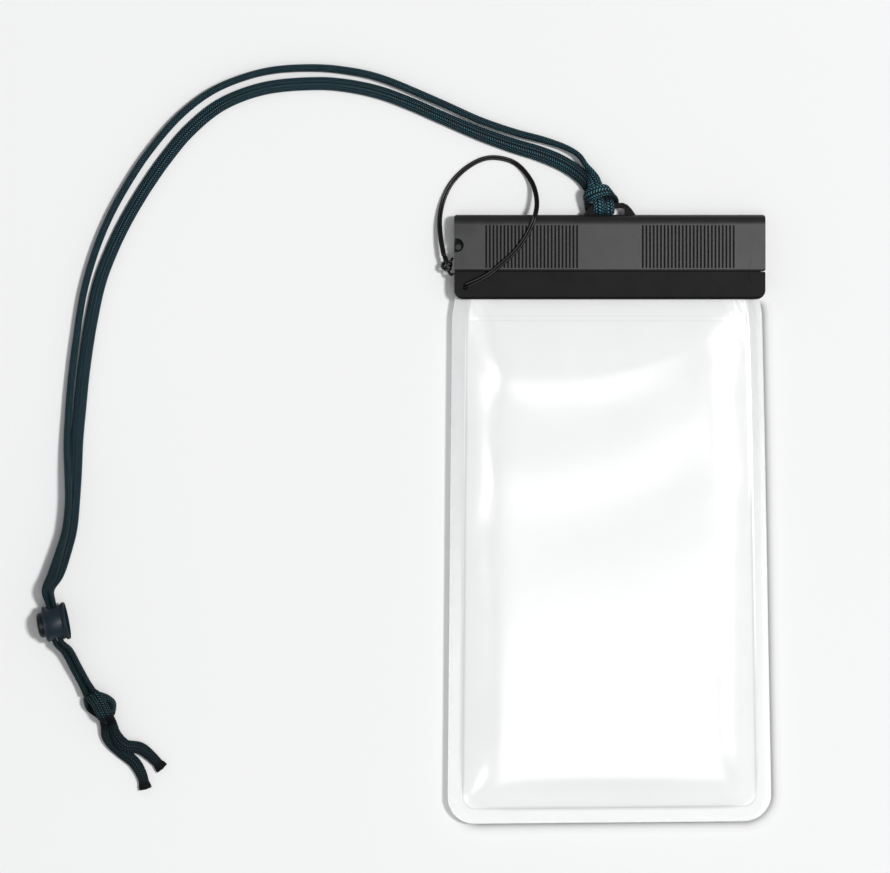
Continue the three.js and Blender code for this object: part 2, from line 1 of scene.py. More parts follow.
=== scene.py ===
"""Waterproof phone pouch: film bag, sealing collar, slider bar, tether and braided lanyard."""
import math

import bmesh
import bpy
import numpy as np
from mathutils import Matrix, Vector


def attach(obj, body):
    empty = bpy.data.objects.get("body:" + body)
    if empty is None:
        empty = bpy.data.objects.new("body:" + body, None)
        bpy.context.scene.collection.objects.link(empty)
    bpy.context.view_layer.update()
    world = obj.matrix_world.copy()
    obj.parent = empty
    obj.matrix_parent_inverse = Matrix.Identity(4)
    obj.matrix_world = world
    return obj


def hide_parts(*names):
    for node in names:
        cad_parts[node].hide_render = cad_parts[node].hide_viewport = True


bl_info = {
    "name": "Waterproof phone pouch",
    "version": (1, 0, 0),
    "blender": (4, 5, 0),
    "location": "View3D > Sidebar > Pouch",
    "description": "Dresses the packed phone pouch: films, collar, slider bar, tether, lanyard and lock",
    "category": "Object",
}

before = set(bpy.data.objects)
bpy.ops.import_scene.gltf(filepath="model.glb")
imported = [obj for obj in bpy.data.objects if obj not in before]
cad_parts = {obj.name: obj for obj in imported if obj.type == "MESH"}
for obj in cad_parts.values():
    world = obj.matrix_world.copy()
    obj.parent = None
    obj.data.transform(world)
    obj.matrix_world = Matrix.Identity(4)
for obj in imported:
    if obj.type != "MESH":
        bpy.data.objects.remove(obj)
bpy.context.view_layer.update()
MM = 0.001

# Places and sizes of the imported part, in millimetres
MID = 4.5  # height of the middle plane, and half the thickness of the slider bar
COLLAR = 79.3  # lower edge of the collar
FILM_LOW = -115.0
FILM_SKEW = 1.1  # the bottom edge is that much higher at the right
WELD = 5.2
CORNER = 10.0  # radius of the film's bottom corners
LEFT_EDGE = ([0, 6, 67, 182, 200], [57.3, 58.3, 58.9, 59.9, 59.9])
RIGHT_EDGE = ([0, 5, 45, 141, 184, 200], [55.6, 56.5, 57.4, 59.1, 59.9, 59.9])
NOTCH = (-56.6, 99.2)
STUD = (-56.0, 98.5)
STUD_ROOT = 8.2  # the stud stands above this height

# Routes, in millimetres. The first three numbers are a point, the fourth is the roll of the
# flat braid: 0 lies on its face, 90 stands on its edge.
LOCK = (-205.4, -40.4, 6.97)
LOCK_TURN = math.radians(11)
LOCK_AXIS = (math.cos(LOCK_TURN), math.sin(LOCK_TURN))


def at_lock(s, n, z, roll):
    """A point given along the lock's axis and across it."""
    ax, ay = LOCK_AXIS
    return (LOCK[0] + s * ax - n * ay, LOCK[1] + s * ay + n * ax, z, roll)


STRAND_OUTER = [
    (-5.4, 120.4, 5.6, 4), (-5.7, 122.6, 5.2, 12), (-7.0, 126.0, 4.5, 58), (-8.8, 129.2, 3.7, 90),
    (-11.2, 132.6, 3.0, 90), (-15.2, 135.2, 2.6, 90), (-22.4, 137.9, 2.5, 90), (-34.6, 141.2, 2.5, 90),
    (-48, 145.8, 2.5, 90), (-62.8, 152.4, 2.5, 88), (-85.7, 161.7, 2.5, 84), (-98, 164.3, 2.5, 84),
    (-108.7, 165.2, 2.5, 84), (-124.3, 164.4, 2.5, 86), (-136.1, 161.5, 2.5, 88),
    (-147.8, 156.3, 2.5, 90), (-159.4, 147.3, 2.5, 90), (-171.3, 133.3, 2.5, 90),
    (-179.1, 121.4, 2.5, 90), (-185.4, 109.8, 2.5, 90), (-190.5, 97.4, 2.5, 90),
    (-194.8, 82.5, 2.5, 90), (-197.5, 66, 2.5, 90), (-199.5, 50.1, 2.5, 90), (-200.6, 36.3, 2.8, 90),
    (-201, 25.2, 3.8, 90), (-200.6, 15.1, 5.3, 90), (-200.3, 5, 6.0, 90), (-201.4, -6.1, 6.2, 88),
    (-203.6, -14.5, 6.4, 70), (-206.0, -22.5, 7.2, 50), at_lock(-0.95, 12.25, 7.8, 70),
    at_lock(-0.95, 7.25, 6.97, 90), at_lock(-0.95, 0, 6.97, 90), at_lock(-1.1, -7.25, 6.5, 90),
    (-201.9, -51.4, 5.2, 90), (-198.6, -57.6, 4.0, 90), (-195.6, -63.1, 3.6, 86),
    (-193.4, -67.2, 3.9, 70),
]
STRAND_INNER = [
    (-5.8, 119.0, 3.2, 10), (-7.4, 121.4, 2.6, 12), (-9.6, 124.3, 2.1, 8), (-13.0, 127.2, 1.7, 4),
    (-18.4, 130.4, 1.5, 0), (-26, 133.5, 1.45, 0), (-36, 136.6, 1.45, 0), (-48, 140.9, 1.45, 0),
    (-62.8, 147.2, 1.45, 0), (-74.3, 152.2, 1.45, 0), (-85.7, 156.3, 1.45, 0), (-98, 158.8, 1.45, 0),
    (-108.8, 159.5, 1.45, 0), (-128.3, 157.6, 1.45, 0), (-143.9, 151.6, 1.45, 0),
    (-155.6, 142.2, 1.45, 0), (-163.4, 133.1, 1.45, 0), (-171.2, 122.1, 1.45, 0),
    (-179, 109.1, 1.45, 0), (-184.4, 98.0, 1.45, 0), (-188.9, 86.1, 1.45, 0), (-192.3, 70.8, 1.45, 0),
    (-195, 53.1, 1.45, 0), (-196.5, 38.3, 1.45, 0), (-197.5, 27.2, 1.45, 0), (-198.0, 16.1, 1.45, 0),
    (-198.7, 5, 1.45, 0), (-199.8, -6.1, 1.6, 4), (-201.9, -14.5, 2.2, 14), (-204.3, -22.5, 4.0, 34),
    at_lock(0.75, 12.25, 5.4, 66), at_lock(0.95, 7.25, 6.97, 90), at_lock(0.95, 0, 6.97, 90),
    at_lock(1.1, -7.25, 6.5, 90), (-199.9, -50.4, 5.2, 90), (-196.7, -56.6, 4.0, 90),
    (-193.7, -62.1, 3.6, 94), (-191.3, -66.0, 3.9, 110),
]
TAIL_LEFT = [
    (-188.2, -75.4, 3.0, 55), (-187.2, -78.4, 2.5, 50), (-186.2, -83.0, 1.8, 24),
    (-181.2, -88.2, 1.45, 0), (-176.1, -92.5, 1.45, 0), (-173.5, -96.9, 1.45, 0),
    (-172.0, -102.2, 1.45, 0),
]
TAIL_RIGHT = [
    (-185.8, -74.4, 3.6, -20), (-184.4, -77.0, 4.0, -30), (-182.8, -82.0, 4.0, -20),
    (-179.6, -85.9, 3.6, -4), (-173.9, -87.1, 2.2, 0), (-169.3, -90.8, 1.5, 0), (-165.8, -94.6, 1.45, 0),
]
TETHER = [
    (-53.5, 84.2, 9.55), (-45.4, 88.1, 9.8), (-40.1, 92.3, 9.8), (-34.7, 97.3, 9.8), (-30.2, 104, 9.8),
    (-27.7, 110, 9.6), (-27, 116.1, 6.5), (-29.1, 123.5, 2.2), (-34.6, 129.8, 0.55),
    (-40.7, 131.9, 0.55), (-46.5, 131.6, 0.55), (-53, 128.2, 0.55), (-58.6, 122.4, 0.85),
    (-61.7, 115.7, 1.6), (-62.9, 108.9, 2.8), (-62.5, 102, 4.2), (-61.3, 95.2, 5.4),
]


# Mesh helpers

def unit(v):
    return v / np.maximum(np.linalg.norm(v, axis=-1, keepdims=True), 1e-9)


def along(rows, step):
    """Runs one smooth curve through the rows and returns it evenly spaced, all columns with it."""
    p = np.array(rows, float)
    d = np.linalg.norm(np.diff(p[:, :3], axis=0), axis=1)
    t = np.concatenate([[0], np.cumsum(np.sqrt(d))])
    h = np.diff(t)[:, None]
    slope = np.diff(p, axis=0) / h
    inner = (slope[:-1] * h[1:] + slope[1:] * h[:-1]) / (h[:-1] + h[1:])
    m = np.concatenate([slope[:1], inner, slope[-1:]])
    out = []
    for i in range(len(p) - 1):
        u = np.linspace(0, 1, 60, endpoint=i == len(p) - 2)[:, None]
        out.append((2 * u**3 - 3 * u**2 + 1) * p[i] + (u**3 - 2 * u**2 + u) * h[i] * m[i]
                   + (-2 * u**3 + 3 * u**2) * p[i + 1] + (u**3 - u**2) * h[i] * m[i + 1])
    q = np.concatenate(out)
    s = np.concatenate([[0], np.cumsum(np.linalg.norm(np.diff(q[:, :3], axis=0), axis=1))])
    n = max(8, int(round(s[-1] / step)))
    at = np.linspace(0, s[-1], n + 1)
    return np.stack([np.interp(at, s, q[:, k]) for k in range(q.shape[1])], axis=1), at


def select_only(obj):
    bpy.ops.object.select_all(action="DESELECT")
    obj.select_set(True)
    bpy.context.view_layer.objects.active = obj


def modify(obj, name, kind, **values):
    """Adds a modifier to the active object and applies it."""
    mod = obj.modifiers.new(name, kind)
    for key, value in values.items():
        setattr(mod, key, value)
    bpy.ops.object.modifier_apply(modifier=name)


def points_of(mesh):
    co = np.zeros(len(mesh.vertices) * 3)
    mesh.vertices.foreach_get("co", co)
    return co.reshape(-1, 3)


def write_attribute(mesh, name, values):
    mesh.attributes.new(name, "FLOAT", "POINT").data.foreach_set("value", values)


def tube(name, rings, start, end, mat):
    """Skins the rings, with a point on each end, in smooth faces."""
    n, k = rings.shape[:2]
    i = np.arange(n - 1)[:, None] * k
    j = np.arange(k)
    j2 = (j + 1) % k
    faces = np.stack([i + j, i + j2, i + k + j2, i + k + j], axis=-1).reshape(-1, 4).tolist()
    faces += np.stack([j2, j, np.full(k, n * k)], axis=1).tolist()
    last = (n - 1) * k
    faces += np.stack([last + j, last + j2, np.full(k, n * k + 1)], axis=1).tolist()
    mesh = bpy.data.meshes.new(name)
    points = np.concatenate([rings.reshape(-1, 3), start, end])
    mesh.from_pydata((points * MM).tolist(), [], faces)
    mesh.update()
    mesh.shade_smooth()
    mesh.materials.append(mat)
    obj = bpy.data.objects.new(name, mesh)
    bpy.context.scene.collection.objects.link(obj)
    return obj


def crossing(s, theta, carriers, lead):
    """Height of a two over two braid at a place along and round the cord."""
    u = carriers * (s / lead + theta / (2 * np.pi))
    v = carriers * (s / lead - theta / (2 * np.pi))
    k = (np.floor(u) - np.floor(v)).astype(int) & 3
    fu, fv = u - np.floor(u), v - np.floor(v)
    first = k < 2
    cross = np.where(first, fu, fv)
    place = np.where(first, (k + 1 - fv) / 2, (k - 2 + fu) / 2)
    return np.sin(np.pi * cross) ** 0.6 * np.sin(np.pi * np.clip(place, 0, 1)) ** 0.5


CARRIERS = 16
LEAD = 13.9  # millimetres of cord for one turn of a carrier
SQUARENESS = 0.78  # 1 gives an ellipse, less a fuller section
RELIEF = 0.13  # height of a crest over a groove
CAP = 1.2  # length of the rounded end
DOME = 0.3  # how far the point of each end stands out
MELTED = 3.6  # how far a tail is melted from its end


def braid(name, rows, step=0.19, around=48, half_width=2.4, half_thick=1.3, lead=LEAD, carriers=CARRIERS,
          end=1.0, widths=((0, 1),), thins=((0, 1),), painted_shade=((0, 0),)):
    """Sweeps a flat braided section along the rows, with its plait in real relief.
    A row's columns after the point are its roll, or a face direction of three numbers.
    widths and thins scale the section at given lengths along the cord, end swells its last
    bit, and the darkening table paints shade on the cord, deepening its colour."""
    q, s = along(rows, step)
    p = q[:, :3]
    t = unit(np.gradient(p, axis=0))
    if q.shape[1] >= 6:
        face = q[:, 3:6]
    else:
        up = np.array([0, 0, 1.0])
        side = unit(np.cross(up, t))
        lift = np.cross(t, side)
        roll = np.radians(q[:, 3])[:, None]
        face = np.cos(roll) * lift + np.sin(roll) * side
    face = unit(face - t * np.sum(face * t, axis=1, keepdims=True))
    wide = np.cross(t, face)
    th = np.arange(around) * 2 * np.pi / around
    c, sn = np.cos(th), np.sin(th)
    sx = np.sign(c) * np.abs(c) ** SQUARENESS
    sy = np.sign(sn) * np.abs(sn) ** SQUARENESS
    nx, ny = c / half_width, sn / half_thick
    nl = np.hypot(nx, ny)
    nx, ny = nx / nl, ny / nl
    h = crossing(s[:, None], th, carriers, lead)
    shape = end + (1 - end) * np.clip((s[-1] - s) / CAP, 0, 1) ** 0.5
    hw = (half_width * np.interp(s, *zip(*widths)) * shape)[:, None]
    ht = (half_thick * np.interp(s, *zip(*thins)) * shape)[:, None]
    d = RELIEF * (h - 0.75)
    a = hw * sx + d * nx
    b = ht * sy + d * ny
    v = p[:, None] + a[..., None] * wide[:, None] + b[..., None] * face[:, None]
    obj = tube(name, v, p[:1] - t[:1] * DOME, p[-1:] + t[-1:] * DOME, braid_material())
    lay_uv(obj.data, s * (carriers / lead) / (CARRIERS / LEAD), around, carriers / CARRIERS)
    # Painted shade, kept per point for the material to read.
    deep = np.repeat(np.interp(s, *zip(*painted_shade)), around)
    write_attribute(obj.data, "painted_shade", np.append(deep, deep[[0, -1]]))
    flip_if_inside_out(obj)
    return obj, p


def lay_uv(mesh, s, k, turn=1.0):
    """Lays the first faces out along the cord and once round it, in centimetres and turns."""
    n = len(s)
    layer = mesh.uv_layers.new(name="UVMap")
    u = np.stack([s[:-1], s[:-1], s[1:], s[1:]], axis=-1)[:, None, :] * np.ones((1, k, 1)) * 0.1
    j = np.arange(k)
    v = np.stack([j, j + 1, j + 1, j], axis=-1)[None] / k * turn * np.ones((n - 1, 1, 1))
    uv = np.zeros((len(mesh.loops), 2))
    uv[:u.size] = np.stack([u.reshape(-1), v.reshape(-1)], axis=1)
    layer.data.foreach_set("uv", uv.reshape(-1))


def flip_if_inside_out(obj):
    bm = bmesh.new()
    bm.from_mesh(obj.data)
    if bm.calc_volume(signed=True) < 0:
        bmesh.ops.reverse_faces(bm, faces=bm.faces)
        bm.to_mesh(obj.data)
    bm.free()


def length_of(p):
    return float(np.sum(np.linalg.norm(np.diff(p[:, :3], axis=0), axis=1)) * MM)


def rod(name, rows, radius, mat, step=0.35, around=16):
    """Sweeps a round section with rounded ends along the rows."""
    q, s = along([tuple(r[:3]) for r in rows], step)
    t = unit(np.gradient(q, axis=0))
    side = unit(np.cross(np.array([0.3, 0.2, 1.0]), t))
    lift = np.cross(t, side)
    th = np.arange(around) * 2 * np.pi / around
    end = np.minimum(s, s[-1] - s)
    r = radius * np.sqrt(np.clip(1 - np.clip(1 - end / radius, 0, 1) ** 2, 0.02, 1))
    v = q[:, None] + r[:, None, None] * (np.cos(th)[:, None] * side[:, None]
                                         + np.sin(th)[:, None] * lift[:, None])
    obj = tube(name, v, q[:1], q[-1:], mat)
    lay_uv(obj.data, s, around)
    flip_if_inside_out(obj)
    return obj, q


def dressed_copy(node, name, mat, bevel, segments=2, rounder=None):
    """Copies a frame node's mesh, merges it to whole faces, and rounds its edges. The edges
    whose middle rounder picks get a wide round first."""
    src = bpy.data.objects[node]
    obj = bpy.data.objects.new(name, src.data.copy())
    bpy.context.scene.collection.objects.link(obj)
    obj.data.materials.clear()
    obj.data.materials.append(mat)
    select_only(obj)
    bpy.ops.object.mode_set(mode="EDIT")
    bpy.ops.mesh.select_all(action="SELECT")
    bpy.ops.mesh.remove_doubles(threshold=1e-6)
    bpy.ops.mesh.dissolve_limited(angle_limit=math.radians(0.6))
    bpy.ops.object.mode_set(mode="OBJECT")
    if rounder:
        bm = bmesh.new()
        bm.from_mesh(obj.data)
        weight = bm.edges.layers.float.new("bevel_weight_edge")
        for edge in bm.edges:
            middle = (edge.verts[0].co + edge.verts[1].co) / 2 / MM
            edge[weight] = float(rounder(middle) and edge.calc_face_angle(0) > 0.6)
        bm.to_mesh(obj.data)
        bm.free()
        modify(obj, "round section", "BEVEL", width=0.55 * MM, segments=4, limit_method="WEIGHT")
    if bevel:
        modify(obj, "rounded edges", "BEVEL", width=bevel * MM, segments=segments,
               limit_method="ANGLE", angle_limit=math.radians(28))
    bpy.ops.object.shade_smooth_by_angle(angle=math.radians(40))
    modify(obj, "weighted normals", "WEIGHTED_NORMAL", mode="FACE_AREA", weight=90, keep_sharp=True)
    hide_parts(node)
    return obj


# Materials

BLACK = (0, 0, 0, 1)


def rgb(r, g, b):
    """A colour given in screen values, for a socket."""
    linear = [c / 12.92 if c <= 0.04045 else ((c + 0.055) / 1.055) ** 2.4
              for c in (r / 255, g / 255, b / 255)]
    return (*linear, 1)


class Mix:
    """Builds one material's nodes, left to right."""

    def __init__(self, name):
        self.mat = bpy.data.materials.new(name)
        self.mat.use_nodes = True
        self.tree = self.mat.node_tree
        self.shader = self.tree.nodes["Principled BSDF"]
        self.x = -200

    def node(self, kind, label="", **values):
        n = self.tree.nodes.new("ShaderNode" + kind)
        n.location = (self.x, 200)
        self.x -= 180
        n.label = label
        for key, value in values.items():
            setattr(n, key, value)
        return n

    def feed(self, n, *pairs):
        """Links or sets a node's inputs, from pairs of an input and what goes into it."""
        for key, value in pairs:
            if hasattr(value, "links"):
                self.tree.links.new(value, n.inputs[key])
            elif value is not None:
                n.inputs[key].default_value = value

    def into(self, key, value):
        self.feed(self.shader, (key, value))

    def set(self, **values):
        for key, value in values.items():
            self.into(key.replace("_", " "), value)

    def place(self):
        if not hasattr(self, "coord"):
            self.coord = self.node("TexCoord", "where")
        return self.coord.outputs["Object"]

    def axes(self, source=None):
        n = self.node("SeparateXYZ", "axes")
        self.feed(n, (0, source or self.place()))
        return n.outputs

    def noise(self, scale, detail, rough, label):
        n = self.node("TexNoise", label)
        self.feed(n, ("Scale", scale), ("Detail", detail), ("Roughness", rough), ("Vector", self.place()))
        return n.outputs["Fac"]

    def ramp(self, source, stops, label=""):
        n = self.node("ValToRGB", label)
        e = n.color_ramp.elements
        while len(e) < len(stops):
            e.new(0.5)
        for el, (pos, col) in zip(e, stops):
            el.position = pos
            el.color = col
        self.feed(n, ("Fac", source))
        return n.outputs["Color"]

    def grey(self, source, stops, label=""):
        return self.ramp(source, [(p, (v, v, v, 1)) for p, v in stops], label)

    def blend(self, fac, a, b, label=""):
        n = self.node("Mix", label, data_type="RGBA")
        self.feed(n, (0, fac), (6, a), (7, b))
        return n.outputs[2]

    def pick(self, choice, a, b):
        """Gives a where the choice is 0, and b where it is 1."""
        n = self.node("Mix", "choice", data_type="FLOAT")
        self.feed(n, (0, choice), (2, a), (3, b))
        return n.outputs[0]

    def math(self, operation, a, b=None):
        n = self.node("Math", operation=operation)
        self.feed(n, (0, a), (1, b))
        return n.outputs[0]

    def bump(self, source, strength, distance, before=None, label=""):
        n = self.node("Bump", label)
        self.feed(n, ("Strength", strength), ("Distance", distance), ("Height", source),
                  ("Normal", before))
        return n.outputs["Normal"]

    def attribute(self, name):
        return self.node("Attribute", name, attribute_name=name).outputs["Fac"]


def moulded(name, dark, light, rough=(0.34, 0.5), specular=0.2, shade=None):
    """Moulded plastic with a fine spark grain, faint cloudiness and rubbed patches. shade takes
    the material and its tone, and gives the tone with darker parts."""
    m = Mix(name)
    tone = m.ramp(m.noise(55, 4, 0.6, "cloudiness"), [(0.3, dark), (0.72, light)], "tone")
    m.into("Base Color", shade(m, tone) if shade else tone)
    rub = m.noise(160, 5, 0.65, "rubbed patches")
    m.into("Roughness", m.grey(rub, [(0.3, rough[0]), (0.7, rough[1])], "sheen"))
    n = m.bump(m.noise(120, 2, 0.5, "flow ripple"), 0.25, 0.0002, label="ripple")
    m.into("Normal", m.bump(m.noise(2600, 2, 0.5, "spark grain"), 0.5, 0.00002, n, "grain"))
    m.set(Specular_IOR_Level=specular)
    return m.mat


def plastic(name, colour, lift, **values):
    """Moulded plastic of one setting's colour, whose cloudiness reaches lift times as light."""
    colour = tuple(colour)
    return moulded(name, colour, tuple(min(1, c * lift) for c in colour[:3]) + (1,), **values)


def jaw_shade(m, tone):
    """Shade on the front jaw where it shows through the slider's notch."""
    far = [m.math("POWER", m.math("SUBTRACT", m.axes()[i], NOTCH[i] * MM), 2) for i in (0, 1)]
    gap = m.math("DIVIDE", m.math("SQRT", m.math("ADD", *far)), 2.7 * MM)
    return m.blend(m.grey(gap, [(0.9, 0.85), (1.0, 0.0)]), tone, BLACK, "hollow shade")


def bar_shade(m, tone):
    """Painted shade in the slider's recesses, and painted shade darkening its left end and top slope."""
    deep = m.grey(m.attribute("recess"), [(0.05, 0.0), (0.6, 1.0)], "depth of recess")
    dark = tuple(c * 0.12 for c in settings()[1].bar[:3]) + (1,)
    tone = m.blend(deep, tone, dark, "shade in recess")
    x, y = m.axes()[:2]
    # Painted shade: the left end and the top slope are darkened towards black.
    ends = m.grey(m.math("ADD", m.math("MULTIPLY", x, 8), 0.5),
                  [(0.041, 0.8), (0.0435, 0.4), (0.35, 0.19), (0.6, 0.0)], "painted shade on left end")
    upper = m.grey(m.math("MULTIPLY", y, 8), [(0.852, 0.0), (0.866, 0.5)], "painted shade on top slope")
    return m.blend(m.math("MAXIMUM", ends, upper), tone, BLACK, "painted shade on end and top")


def braid_finish(name, teal, navy, groove):
    """Flat braided polyester: two sets of yarns in herringbone rows, with painted shade between them
    and crests painted lighter, partly yarn colour and partly painted highlight, with filaments.
    """
    m = Mix(name)
    uv = m.axes(m.node("TexCoord", "round the cord").outputs["UV"])
    along_it = m.math("MULTIPLY", uv[0], CARRIERS / LEAD * 10)
    round_it = m.math("MULTIPLY", uv[1], CARRIERS)
    u = m.math("ADD", along_it, round_it)
    v = m.math("SUBTRACT", along_it, round_it)
    fu, fv = m.math("FRACT", u), m.math("FRACT", v)
    k = m.math("FLOORED_MODULO", m.math("SUBTRACT", m.math("FLOOR", u), m.math("FLOOR", v)), 4)
    first = m.math("LESS_THAN", k, 1.5)
    cross = m.pick(first, fv, fu)
    place_b = m.math("MULTIPLY", m.math("ADD", m.math("SUBTRACT", k, 2), fu), 0.5)
    place_a = m.math("MULTIPLY", m.math("SUBTRACT", m.math("ADD", k, 1), fv), 0.5)
    place = m.pick(first, place_b, place_a)
    arch = m.math("SINE", m.math("MULTIPLY", cross, math.pi))
    span = m.math("SINE", m.math("MULTIPLY", place, math.pi))
    height = m.math("MULTIPLY", m.math("POWER", arch, 1.3), m.math("POWER", span, 0.7))
    hue = m.noise(700, 3, 0.6, "yarn tone")
    crest = m.blend(m.grey(hue, [(0.35, 0.0), (0.8, 0.6)]), teal, navy, "mottle")
    # Painted shade: low parts of the plait take the groove colour. Painted highlight: the crests take the
    # lighter teal and navy mottle.
    gap_shade_mask = m.grey(height, [(0.22, 0.0), (0.5, 1.0)], "between yarns")
    crest_highlight_mask = m.grey(height, [(0.6, 0.0), (0.82, 1.0)], "crests")
    colour = m.blend(crest_highlight_mask, m.blend(gap_shade_mask, groove, navy, "flanks"), crest, "cord colour")
    # Painted shade: the per-point shade darkens the cord towards the groove colour.
    colour = m.blend(m.math("MULTIPLY", m.attribute("painted_shade"), 0.55), colour, groove, "deeper painted shade")
    m.into("Base Color", m.blend(m.attribute("melt"), colour, groove, "melted end"))
    n = m.bump(height, 0.6, 0.00018, label="plait")
    m.into("Normal", m.bump(m.noise(5200, 2, 0.6, "filaments"), 0.5, 0.00003, n, "filament"))
    m.set(Roughness=0.62, Specular_IOR_Level=0.12, Sheen_Weight=0.03, Sheen_Roughness=0.4,
          Sheen_Tint=(0.55, 0.85, 0.95, 1))
    return m.mat


# Settings that a user would change

def colour(name, description, default):
    return bpy.props.FloatVectorProperty(name=name, description=description, subtype="COLOR", size=4,
                                         min=0, max=1, default=default)


def length(name, description, default, low, high):
    return bpy.props.FloatProperty(name=name, description=description, default=default, min=low,
                                   max=high, unit="LENGTH")


class PouchFilmSettings(bpy.types.PropertyGroup):
    tint: colour("Film tint", "Colour of the milky clear film", (1, 1, 1, 1))
    cover: bpy.props.FloatProperty(
        name="Milkiness", description="How much the film hides what is behind it", default=0.34,
        min=0.02, max=1, subtype="FACTOR")
    thickness: length("Film thickness", "Thickness of one film", 0.00042, 0.0001, 0.001)


class PouchShellSettings(bpy.types.PropertyGroup):
    bar: colour("Slider colour", "Grey of the slider bar", rgb(42, 42, 43))
    jaw: colour("Collar colour", "Near black of the collar jaws", rgb(19, 19, 20))
    lock: colour("Lock colour", "Blue black of the cord lock", rgb(24, 36, 45))


class PouchCordSettings(bpy.types.PropertyGroup):
    teal: colour("Teal yarn", "Lighter crests of the braid", rgb(88, 146, 162))
    navy: colour("Navy yarn", "Darker flanks of the braid", rgb(9, 28, 39))
    groove: colour("Between yarns", "Shade between the carriers", rgb(1, 5, 8))
    width: length("Braid width", "Width of the flat braid", 0.0048, 0.003, 0.006)
    tether: length("Tether diameter", "Thickness of each thin cord", 0.001, 0.0006, 0.0013)


def settings():
    s = bpy.context.scene
    return s.pouch_film, s.pouch_shell, s.pouch_cord


def braid_material():
    c = settings()[2]
    name = "braided polyester"
    return bpy.data.materials.get(name) or braid_finish(name, c.teal, c.navy, c.groove)


def tether_material():
    m = Mix("waxed tether cord")
    wax = m.noise(700, 3, 0.6, "wax tone")
    m.into("Base Color", m.ramp(wax, [(0.35, rgb(5, 5, 6)), (0.7, rgb(12, 12, 13))]))
    m.into("Normal", m.bump(m.noise(3800, 2, 0.6, "filaments"), 0.4, 0.00003))
    m.set(Roughness=0.3, Specular_IOR_Level=0.32)
    return m.mat


# Operators

class POUCH_OT_stage(bpy.types.Operator):
    """Lays the pale floor and sets the overhead camera and the soft lights."""
    bl_idname = "pouch.stage"
    bl_label = "Stage"

    def execute(self, context):
        cam = bpy.data.cameras.new("camera")
        cam.lens = 200
        cam.sensor_width = 36
        cam.clip_end = 10
        view = bpy.data.objects.new("camera", cam)
        view.location = (-0.06093, 0.02852, 1.836)
        context.scene.collection.objects.link(view)
        context.scene.camera = view
        bpy.ops.mesh.primitive_grid_add(x_subdivisions=8, y_subdivisions=8, size=6,
                                        location=(0, 0, -0.0001))
        floor = context.active_object
        floor.name = "floor"
        m = Mix("pale floor")
        paper = m.ramp(m.noise(2.2, 3, 0.5, "paper tone"),
                       [(0.3, (0.90, 0.902, 0.906, 1)), (0.7, (0.915, 0.917, 0.92, 1))])
        m.into("Base Color", m.blend(self.contact(m), paper, BLACK, "contact shade"))
        m.set(Roughness=0.85, Specular_IOR_Level=0.1)
        floor.data.materials.append(m.mat)
        self.lamp("key light", (1.9, 0.36, 4.6), 0.62, 170.0, (1.0, 0.995, 0.985))
        self.lamp("overhead light", (0.1, -0.58, 2.6), 1.1, 8.0, (0.98, 0.99, 1.0))
        window = self.lamp("window light", (0.1, -0.56, 2.6), 1.1, 18.0, (1, 1, 1))
        window.visible_diffuse = False
        world = bpy.data.worlds.new("room")
        world.use_nodes = True
        back = world.node_tree.nodes["Background"]
        back.inputs["Color"].default_value = (0.97, 0.985, 1.0, 1)
        back.inputs["Strength"].default_value = 0.28
        context.scene.world = world
        context.scene.view_settings.view_transform = "Standard"
        return {"FINISHED"}

    def contact(self, m):
        """Soft shade on the floor beside the film's right and bottom edges, in metres from them."""
        x, y = m.axes()[:2]
        drop = m.math("DIVIDE", m.math("SUBTRACT", COLLAR * MM, y), 0.2)
        edge = m.grey(drop, [(d / 200, e * MM) for d, e in zip(*RIGHT_EDGE)][:5], "right edge")
        r = CORNER * MM
        qx = m.math("SUBTRACT", m.math("ABSOLUTE", x), m.math("SUBTRACT", edge, r))
        low = m.math("ADD", m.math("MULTIPLY", x, 0.0096), -0.11445)
        qy = m.math("SUBTRACT", m.math("ADD", low, r), y)
        px, py = m.math("MAXIMUM", qx, 0.0), m.math("MAXIMUM", qy, 0.0)
        out = m.math("SQRT", m.math("ADD", m.math("MULTIPLY", px, px), m.math("MULTIPLY", py, py)))
        gap = m.math("DIVIDE", m.math("SUBTRACT", out, r), 0.005)
        fall = m.grey(gap, [(0.0, 0.0), (0.02, 0.70), (0.12, 0.61), (0.24, 0.43), (0.4, 0.23),
                            (0.6, 0.08), (0.95, 0.0)], "fall off")
        left = m.grey(m.math("ADD", m.math("MULTIPLY", x, 10.0), 0.6),
                      [(0.02, 0.0), (0.12, 1.0)], "not left")
        top = m.grey(m.math("SUBTRACT", 0.8, m.math("MULTIPLY", y, 10.0)),
                     [(0.005, 0.0), (0.03, 1.0)], "not above")
        return m.math("MULTIPLY", m.math("MULTIPLY", fall, left), top)

    def lamp(self, name, place, size, power, colour):
        lamp = bpy.data.lights.new(name, "AREA")
        lamp.size = size
        lamp.energy = power
        lamp.color = colour
        obj = bpy.data.objects.new(name, lamp)
        obj.location = place
        aim = Vector((-0.06, 0.03, 0)) - obj.location
        obj.rotation_euler = aim.to_track_quat("-Z", "Y").to_euler()
        bpy.context.scene.collection.objects.link(obj)
        return obj


